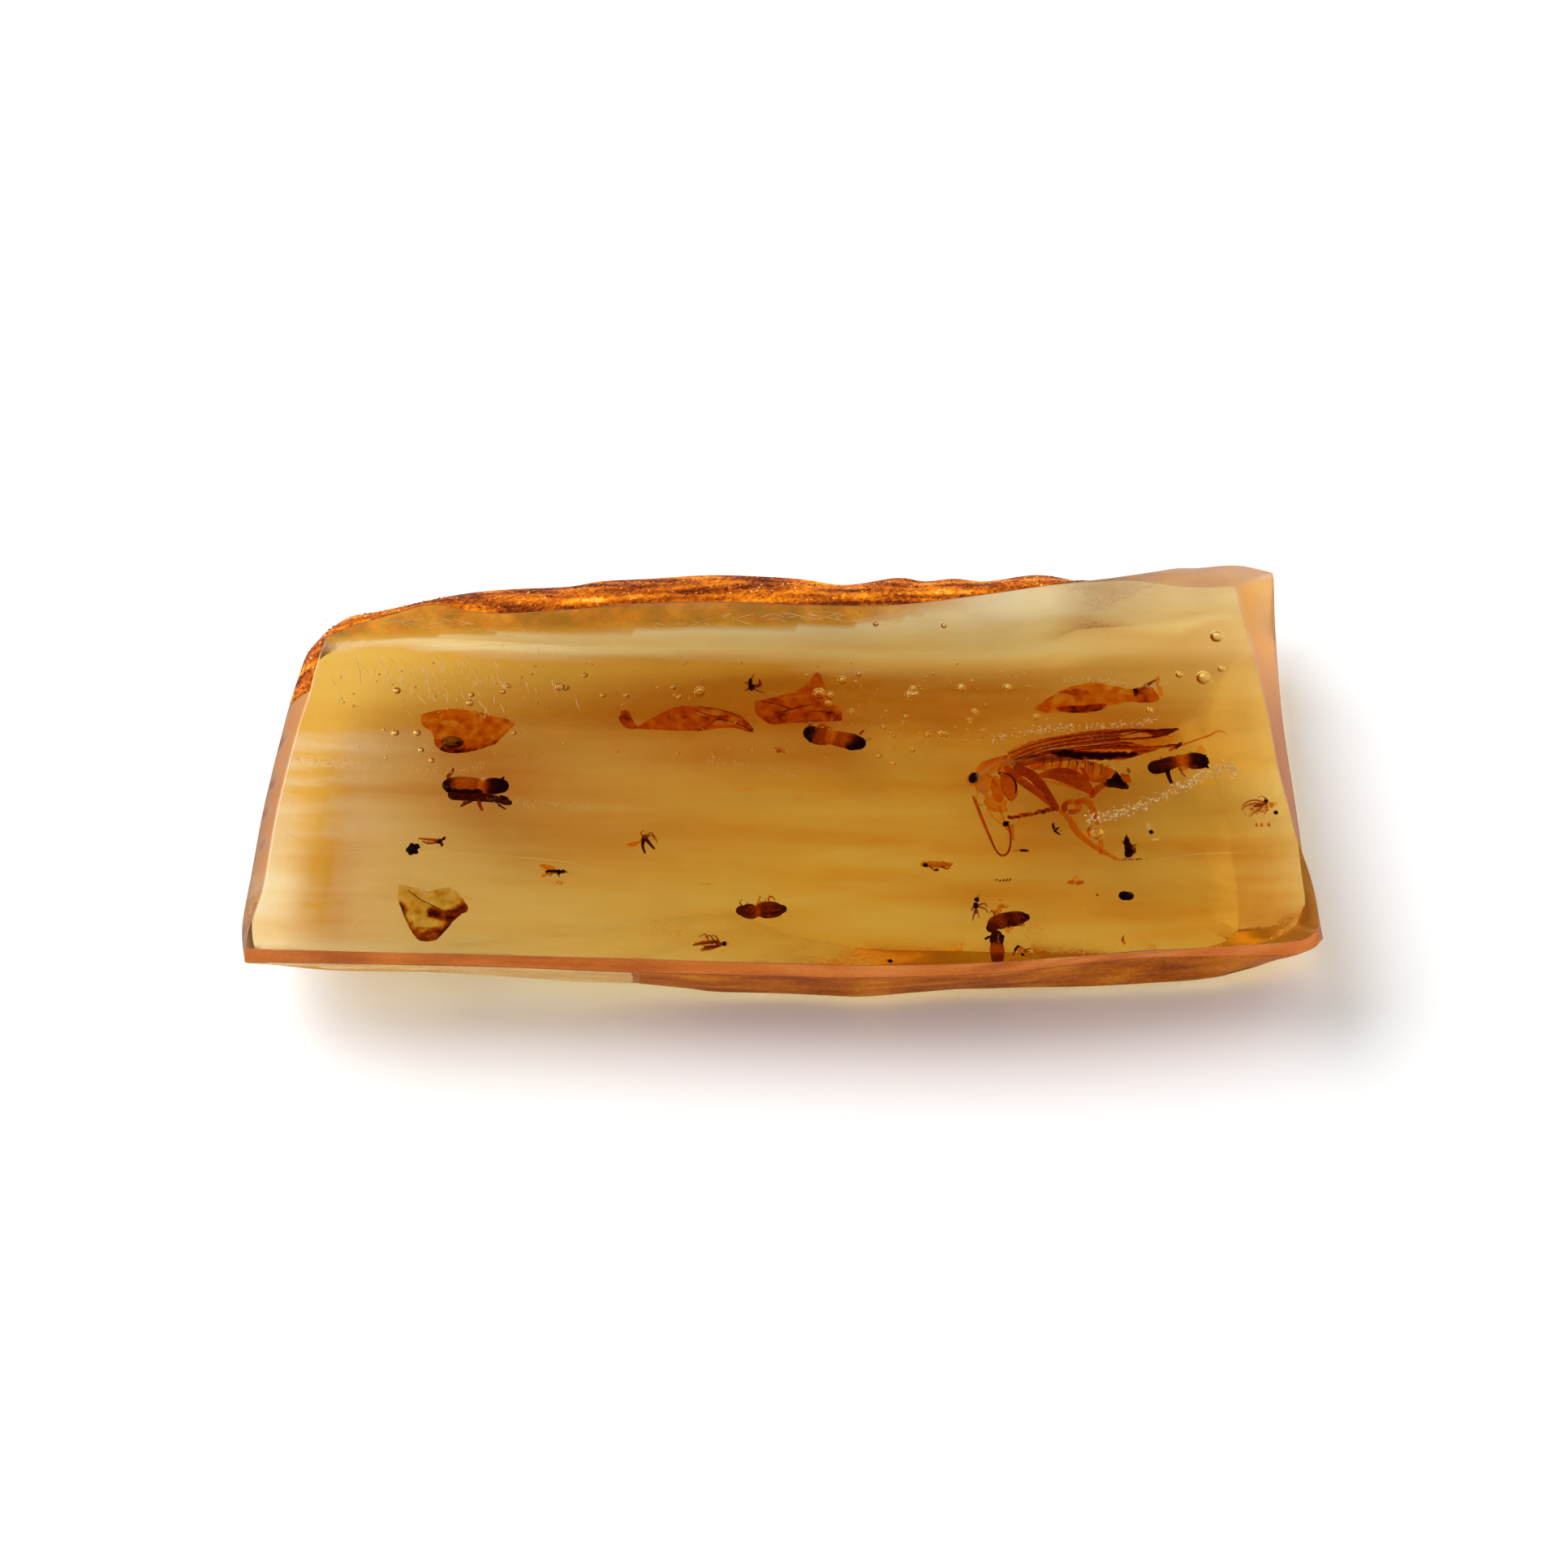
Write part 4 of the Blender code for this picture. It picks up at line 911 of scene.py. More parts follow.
cockroach = {
    # Millimetres about its middle. It lies on its side, with its back to +Y and its head to -X.
    "place": (24.4, -0.6, 6.9),
    "shieldBack": [(-8.1, 0.15), (-7.6, 0.8), (-6.5, 1.3), (-5.3, 1.6)],
    "shieldMargin": [(-7.9, -0.7), (-7.3, -0.6), (-6.4, 0.2), (-5.4, 0.85)],
    "foreWing": [(-5.4, 1.5), (-4.1, 2.25), (-2.6, 2.8), (-0.9, 3.2), (1.0, 3.6), (2.9, 3.9), (4.9, 4.0),
                 (7.5, 4.0), (9.3, 4.05), (8.3, 3.3), (6.9, 2.9), (5.7, 2.8), (4.4, 2.7), (2.9, 2.5),
                 (1.0, 2.2), (-0.9, 1.95), (-2.6, 1.55), (-3.8, 1.0), (-5.1, 0.4)],
    "wingWindow": ((5.6, 3.25), (1.5, 0.35)),
    "foreVeins": [[(-5.2, 1.35), (-2.6, 2.45), (1.2, 3.3), (6.4, 3.8)], [(-5.0, 0.95), (-2.4, 2.1), (1.2, 2.9), (4.4, 3.2)],
                  [(-4.6, 0.7), (-2.2, 1.8), (1.2, 2.5), (4.6, 2.85)], [(4.4, 3.15), (6.0, 3.6), (7.8, 3.75), (9.0, 3.9)],
                  [(4.6, 2.85), (6.4, 3.0), (7.8, 3.2), (8.9, 3.8)]],
    "hindVeins": [[(-4.2, 0.8), (-1.5, 1.5), (1.5, 1.9), (5.0, 2.3)], [(-3.6, 0.5), (-1.0, 0.95), (2.0, 0.95), (5.6, 1.6)],
                  [(4.0, 2.3), (5.8, 2.1), (7.6, 2.2), (9.0, 2.4)], [(-4.0, 1.0), (-1.0, 1.8), (2.0, 2.25), (5.4, 2.55)]],
    "hindWing": [(-4.9, 0.6), (-3.8, 1.15), (-2.6, 1.65), (-0.9, 2.0), (1.0, 2.2), (2.9, 2.5), (4.4, 2.75),
                 (5.7, 2.5), (6.9, 2.2), (8.0, 2.35), (9.4, 2.5), (9.3, 2.2), (7.6, 1.95), (6.0, 1.35),
                 (4.4, 0.8), (2.5, 0.75), (0.0, 0.7), (-2.5, 0.4), (-4.4, 0.15)],
    "wingStripe": ([(-1.7, 1.6), (-0.2, 1.8), (1.3, 1.6), (3.3, 1.65), (5.8, 1.5)],
                   [(-1.7, 1.35), (0.0, 1.0), (1.9, 0.85), (3.3, 0.9), (5.8, 1.3)]),
    "abdomen": [(-3.0, 0.75), (-1.6, 0.7), (0.0, 0.45), (1.4, 0.1), (2.6, -0.2), (3.5, -0.5)],
    "abdomenTip": [(3.75, -0.3), (3.4, -0.9), (2.8, -1.45), (3.8, -1.65), (4.75, -1.8), (4.3, -1.3), (4.1, -0.7)],
    "antenna": [(-8.4, -2.7), (-7.8, -4.8), (-7.3, -6.3), (-6.85, -7.6), (-6.5, -8.35), (-6.1, -8.65),
                (-5.65, -8.35), (-5.4, -7.6), (-5.35, -6.5), (-5.5, -5.6)],
    "cercus": [(8.6, 2.3, -0.4), (9.6, 2.8, -0.4), (11.1, 3.45, -0.4), (12.0, 3.8, -0.4), (12.7, 4.25, -0.4),
               (13.2, 4.2, -0.4), (13.5, 3.95, -0.4)],
    "foreTibia": [(-0.4, -5.1, 0.3), (0.35, -6.5, 0.1), (1.3, -7.5, 0.0), (2.5, -8.4, -0.1), (3.7, -9.1, -0.2)],
    "knee": (-0.15, -4.05),
    "seed": 11,
}


def foreWingTone(x, y):
    spec = cockroach
    centre, reach = spec["wingWindow"]
    window = math.hypot((x - centre[0]) / reach[0], (y - centre[1]) / reach[1])
    if window < 1:
        return 0.86
    if x > 6.6:
        return 0.24 + 0.1 * max(0.0, 3.7 - y)
    return 0.46 + 0.07 * math.sin(9 * y - 2.2 * x) + 0.02 * (-x)


def hindWingTone(x, y):
    upper, lower = cockroach["wingStripe"]
    above = heightAt(upper, x)
    below = heightAt(lower, x)
    if above is not None and below - 0.05 < y < above:
        return 0.02
    if above is not None and above <= y < above + 0.3 and 2.0 < x < 5.2:
        return 0.78
    return 0.42 + 0.12 * math.sin(7 * y + 0.8 * x)


def cockroachBody(bm):
    spec = cockroach
    addBall(bm, (-4.3, 0.35, 0.0), (2.1, 0.85, 1.2), (0, 0, 20), 0.66, lump=0.12, seed=1)
    tones = [0.7, 0.58, 0.7, 0.55, 0.7, 0.52, 0.68, 0.5, 0.66, 0.5, 0.62]
    line = [alongLine(spec["abdomen"], i / 10) for i in range(11)]
    radii = [0.42 + 0.42 * math.sin(math.pi * (0.12 + 0.8 * i / 10)) for i in range(11)]
    addTube(bm, [(p.x, p.y, 0.0) for p in line], radii, tones, sides=18, depth=1.35, steps=4)
    addSheet(bm, spec["abdomenTip"], 0.9, 0.3, lambda x, y: 0.1, lambda x, y: 0.02)
    addBall(bm, (4.55, -0.95, 0.2), (0.55, 0.42, 0.35), (0, 0, -20), 0.5, lump=0.5, seed=3)
    addSheet(bm, spec["foreWing"], 0.10, 0.28, lambda x, y: 1.05 - 0.10 * (y - 2.4) ** 2, foreWingTone)
    addSheet(bm, spec["hindWing"], 0.08, 0.28, lambda x, y: 0.75 - 0.08 * (y - 1.4), hindWingTone)
    addSheet(bm, [(x, 0.96 * y) for x, y in spec["foreWing"]], 0.08, 0.5,
             lambda x, y: -1.0 + 0.10 * (y - 2.4) ** 2, lambda x, y: 0.82, seed=2)
    for side in (-1, 1):
        addShell(bm, spec["shieldBack"], spec["shieldMargin"], side, 1.15, 0.14,
                 lambda share, s: 0.98 if s > 0.86 else 0.74 - 0.22 * (1 - s) * share)
    for vein in spec["foreVeins"]:
        addTube(bm, [(*p, 1.08) for p in vein], [0.045, 0.05, 0.045, 0.03], 0.12, sides=6)
    for vein in spec["hindVeins"]:
        addTube(bm, [(*p, 0.82) for p in vein], [0.04, 0.045, 0.04, 0.03], 0.2, sides=6)
    for i in range(1, 9):
        centre = alongLine(spec["abdomen"], i / 9.5)
        addTube(bm, [(centre.x - 0.12, centre.y + 0.55, 0.75), (centre.x + 0.05, centre.y, 1.15),
                     (centre.x - 0.1, centre.y - 0.6, 0.75)], [0.03, 0.045, 0.03], 0.14, sides=6)
    edge = [(-5.1, 0.4, 1.12), (-3.8, 1.0, 1.12), (-2.6, 1.55, 1.12), (-0.9, 1.95, 1.12), (1.0, 2.2, 1.1),
            (2.9, 2.5, 1.1)]
    addTube(bm, edge, [0.07, 0.06, 0.055, 0.05, 0.04, 0.02], 0.97, sides=6)
    addTube(bm, [(-6.0, -0.3, 1.0), (-4.9, 0.45, 1.1), (-3.4, 0.75, 1.1), (-1.6, 1.25, 1.0)],
            [0.07, 0.09, 0.06, 0.03], 0.9, sides=6)


def cockroachHead(bm):
    spec = cockroach
    addBall(bm, (-7.45, -1.4, 0.0), (0.7, 1.0, 0.8), (0, 0, -14), 0.72, lump=0.2, seed=5)
    addBall(bm, (-8.3, -1.0, 0.32), (0.56, 0.72, 0.34), (0, 0, -20), 0.74)
    addBall(bm, (-8.32, -1.0, 0.55), (0.42, 0.56, 0.38), (0, 0, -20), 0.03)
    addBall(bm, (-8.1, -0.75, 0.82), (0.12, 0.2, 0.1), (0, 0, -20), 0.34)
    addBall(bm, (-5.35, -1.8, 0.45), (0.72, 1.5, 0.6), (0, 0, 10), 0.52, lump=0.12, seed=6)
    addBall(bm, (-6.35, -2.1, 0.35), (0.5, 1.35, 0.5), (0, 0, 6), 0.6, lump=0.15, seed=7)
    addTube(bm, [(-5.9, -0.5, 0.85), (-5.05, -1.1, 1.0), (-4.75, -2.0, 0.95), (-4.85, -2.7, 0.8)],
            [0.05, 0.08, 0.09, 0.04], 0.14, sides=6)
    addTube(bm, [(-7.0, -0.75, 0.8), (-6.7, -1.3, 0.9), (-6.45, -1.9, 0.85)], [0.12, 0.12, 0.08], 0.62, sides=8)
    addBall(bm, (-6.1, -0.68, 0.98), (0.13, 0.1, 0.08), (0, 0, 0), 0.0, detail=2)
    addBall(bm, (-6.5, -3.4, 0.1), (1.05, 0.8, 0.6), (0, 0, -30), 0.7, lump=0.45, seed=8)
    addBall(bm, (-7.7, -2.9, 0.15), (0.45, 0.7, 0.35), (0, 0, 10), 0.9, lump=0.6, seed=9)
    addTube(bm, [(-6.2, -3.9, 0.2), (-6.0, -4.7, 0.2), (-5.8, -5.4, 0.1)], [0.16, 0.09, 0.1], 0.66, sides=8)
    addTube(bm, [(-7.2, -4.0, 0.1), (-6.7, -4.9, 0.1), (-6.0, -5.6, 0.1)], [0.12, 0.07, 0.06], 0.72, sides=8)
    addBall(bm, (-5.72, -5.55, 0.2), (0.27, 0.25, 0.22), (0, 0, 20), 0.0, lump=0.5, seed=10)
    addSheet(bm, [(-5.85, -5.75), (-5.1, -5.55), (-5.08, -6.4), (-5.1, -7.15)], 0.14, 0.2,
             lambda x, y: 0.0, lambda x, y: 0.6)
    for shift, radius in ((0.0, 0.085), (0.17, 0.06)):
        line = [(x + shift * max(0.0, min(1.0, (y + 8.9) / 3)) * (1 if x < -5.6 else 0), y, -0.1 - shift)
                for x, y in spec["antenna"]]
        addTube(bm, line, [radius] * 8 + [0.8 * radius, 0.7 * radius], 0.42, sides=8, steps=6)
    addTube(bm, [(-5.1, -8.2, -0.1), (-4.8, -8.2, 0.0), (-4.55, -8.15, 0.0)], [0.04, 0.03, 0.03], 0.25, sides=6)
    addBall(bm, (-4.25, -8.2, 0.0), (0.4, 0.13, 0.1), (0, 0, -6), 0.14, lump=0.5, seed=12)


def cockroachLegs(bm):
    spec = cockroach
    addTube(bm, [(-4.5, 0.3, -0.3), (-3.3, -0.5, -0.2), (-2.4, -1.9, 0.0), (-1.4, -3.9, 0.2)],
            [0.42, 0.5, 0.42, 0.28], [0.34, 0.36, 0.34, 0.44], sides=14)
    front = [(-5.5, -0.1, 0.9), (-4.3, -1.5, 1.0), (-2.8, -2.75, 0.8), (-1.4, -4.15, 0.5)]
    addTube(bm, front, [0.26, 0.36, 0.33, 0.26], [0.5, 0.42, 0.44, 0.55], sides=14)
    # pale strip under the front femur: painted highlight
    addTube(bm, [(x + 0.12, y - 0.25, z) for x, y, z in front[:3]], [0.1, 0.14, 0.1], 0.76, sides=8)
    addHairs(bm, [(-4.9, -1.2, 0.9), (-3.4, -2.6, 0.9), (-1.9, -4.0, 0.6)], 0.28, 16, -130, 0.5, 21)
    hind = [(-2.8, -1.05, 1.15), (-1.7, -0.9, 1.3), (-0.3, -1.15, 1.3), (0.8, -1.8, 1.1), (1.55, -2.5, 0.8)]
    addTube(bm, hind, [0.2, 0.5, 0.78, 0.66, 0.34], [0.5, 0.36, 0.38, 0.42, 0.5], sides=18)
    addTube(bm, [(-2.6, -1.45, 1.2), (-1.4, -1.85, 1.3), (0.1, -2.25, 1.2), (1.4, -2.7, 0.9)],
            [0.06, 0.09, 0.09, 0.06], 0.66, sides=8)
    # white streak on the hind femur's end: painted glint
    addTube(bm, [(-2.45, -0.8, 1.5), (-2.0, -0.78, 1.65), (-1.5, -0.76, 1.7)], [0.05, 0.07, 0.04], 1.0, sides=6)
    addTube(bm, [(0.9, -0.2, 0.9), (1.5, -1.3, 1.0), (2.9, -1.5, 0.8), (2.0, -2.3, 0.7), (1.6, -2.9, 0.6)],
            [0.16, 0.2, 0.22, 0.3, 0.24], 0.5, sides=12)
    knee = spec["knee"]
    ring = []
    for i in range(11):
        angle = math.radians(200 - 30 * i)
        ring.append((knee[0] + 0.62 * math.cos(angle), knee[1] + 0.58 * math.sin(angle), 0.45 + 0.04 * i))
    addTube(bm, ring, [0.24] * 11, [0.44, 0.38, 0.42, 0.5, 0.56, 0.62, 0.62, 0.6, 0.56, 0.5, 0.46], sides=12)
    addBall(bm, (*knee, 0.35), (0.42, 0.4, 0.3), (0, 0, 0), 0.84)
    addTube(bm, [(0.4, -3.4, 0.4), (1.1, -3.3, 0.3), (1.6, -3.9, 0.2), (1.8, -4.9, 0.0)],
            [0.26, 0.32, 0.3, 0.26], [0.5, 0.6, 0.62, 0.66], sides=12)
    addTube(bm, [(1.8, -4.9, 0.0), (2.0, -5.6, -0.1), (2.2, -7.2, -0.2), (2.15, -8.2, -0.2)],
            [0.28, 0.14, 0.2, 0.14], [0.6, 0.72, 0.74, 0.7], sides=12)
    addBall(bm, (2.15, -8.35, -0.2), (0.24, 0.22, 0.2), (0, 0, 0), 0.84, detail=2)
    addTube(bm, [(-1.0, -4.4, 0.4), (-0.6, -4.8, 0.35), *spec["foreTibia"]],
            [0.2, 0.26, 0.30, 0.30, 0.24, 0.2, 0.07], 0.62, sides=12)
    addHairs(bm, spec["foreTibia"], 0.2, 12, 200, 0.55, 22)
    draw = random.Random(spec["seed"])
    for i in range(13):
        share = i / 12
        spot = (-1.6 - 3.7 * share, -4.1 - 0.85 * share + draw.uniform(-0.08, 0.08), 0.3 - 0.2 * share)
        size = draw.uniform(0.13, 0.22)
        addBall(bm, spot, (size * 1.3, size, size * 0.8), (0, 0, draw.uniform(-40, 40)),
                draw.uniform(0.2, 0.6), detail=2, lump=0.5, seed=i)
    addTube(bm, spec["cercus"], [0.14, 0.09, 0.075, 0.08, 0.06, 0.05, 0.03], 0.5, sides=8)
    addTube(bm, [(9.1, 2.4, -0.2), (9.35, 2.75, -0.1), (9.6, 2.95, -0.1)], [0.1, 0.13, 0.07], 0.03, sides=8)
    for i in range(8):
        spot = (4.0 + 0.27 * i + draw.uniform(-0.1, 0.1), -9.05 + draw.uniform(-0.1, 0.12), -0.2)
        addBall(bm, spot, (draw.uniform(0.06, 0.16), 0.035, 0.035), (0, 0, draw.uniform(-20, 20)), 0.2, detail=1)


def cockroachPowder(bm):
    # pale grains on its shield, head, femora and along the wing
    for i, (x, y, wide, high, count) in enumerate([
            (-7.95, -1.1, 0.25, 0.6, 50), (-7.6, -2.3, 0.5, 0.8, 60), (-5.2, 0.45, 0.6, 0.25, 60),
            (-3.9, -1.95, 0.5, 0.3, 30), (-1.2, 1.85, 2.0, 0.2, 60), (2.0, 3.0, 2.6, 0.6, 130),
            (-2.0, 2.2, 1.6, 0.4, 50), (1.0, 0.2, 1.0, 0.5, 30), (0.6, -3.1, 0.8, 0.3, 14),
            (-0.3, -4.9, 0.4, 0.3, 18)]):
        addSpecks(bm, (x, y, 1.18), (wide, high, 0.12), count, (0.03, 0.07), 1.0, i)
    addSpecks(bm, (1.6, 0.3, 1.0), (0.9, 0.4, 0.1), 14, (0.05, 0.09), 0.05, 40)
    addSpecks(bm, (3.1, 0.1, 1.0), (0.3, 0.6, 0.1), 30, (0.04, 0.08), 0.82, 41)


def buildCockroach():
    chitin = chitinMaterial("cockroach chitin, amber-brown and translucent", chitinStops, 0.93, 0.18,
                            mottle=0.42, grain=0.22)
    bm = newBmesh()
    cockroachBody(bm)
    cockroachHead(bm)
    cockroachLegs(bm)
    cockroachPowder(bm)
    finishPiece("cockroach_sealed", bm, chitin, cockroach["place"],
                replaces=("cockroach",))


# Beetles, flies and the like. Each is a set of rows along its body (x, y, z, radius, tone), lumps
# (centre, radii, heading, tone), limbs (points, radius, tone) and grains (centre, spread, count,
# sizes, tone), in millimetres about its place.

# Some pale lumps, limbs and grains in these tables are painted highlights.
def buildCreature(name, spec, material, replaces):
    bm = newBmesh()
    rows = spec.get("rows", ())
    if rows:
        addTube(bm, [row[:3] for row in rows], [1.12 * row[3] for row in rows], [row[4] for row in rows],
                sides=20, steps=5)
    for i, (centre, radii, heading, tone) in enumerate(spec.get("lumps", ())):
        addBall(bm, centre, radii, (0, 0, heading), tone, lump=spec.get("lumpy", 0.25), seed=3.1 * i)
    for points, radius, tone in spec.get("limbs", ()):
        radii = [spec.get("stout", 1.5) * radius * (1.0 - 0.45 * i / (len(points) - 1)) for i in range(len(points))]
        addTube(bm, [(*p, 0.1) if len(p) == 2 else p for p in points], radii, 0.75 * tone, sides=8)
    for i, (centre, spread, count, sizes, tone) in enumerate(spec.get("grains", ())):
        addSpecks(bm, centre, spread, count, sizes, tone, 50 + i)
    for i, (outline, height, tone) in enumerate(spec.get("sheets", ())):
        addSheet(bm, outline, 0.05, 0.2, lambda x, y: height, lambda x, y: 0.75 * tone, seed=60 + i)
    size = spec.get("size", 1.0)
    bmesh.ops.scale(bm, vec=(size, size, size), verts=bm.verts)
    finishPiece(name, bm, material, spec["place"], replaces=replaces)


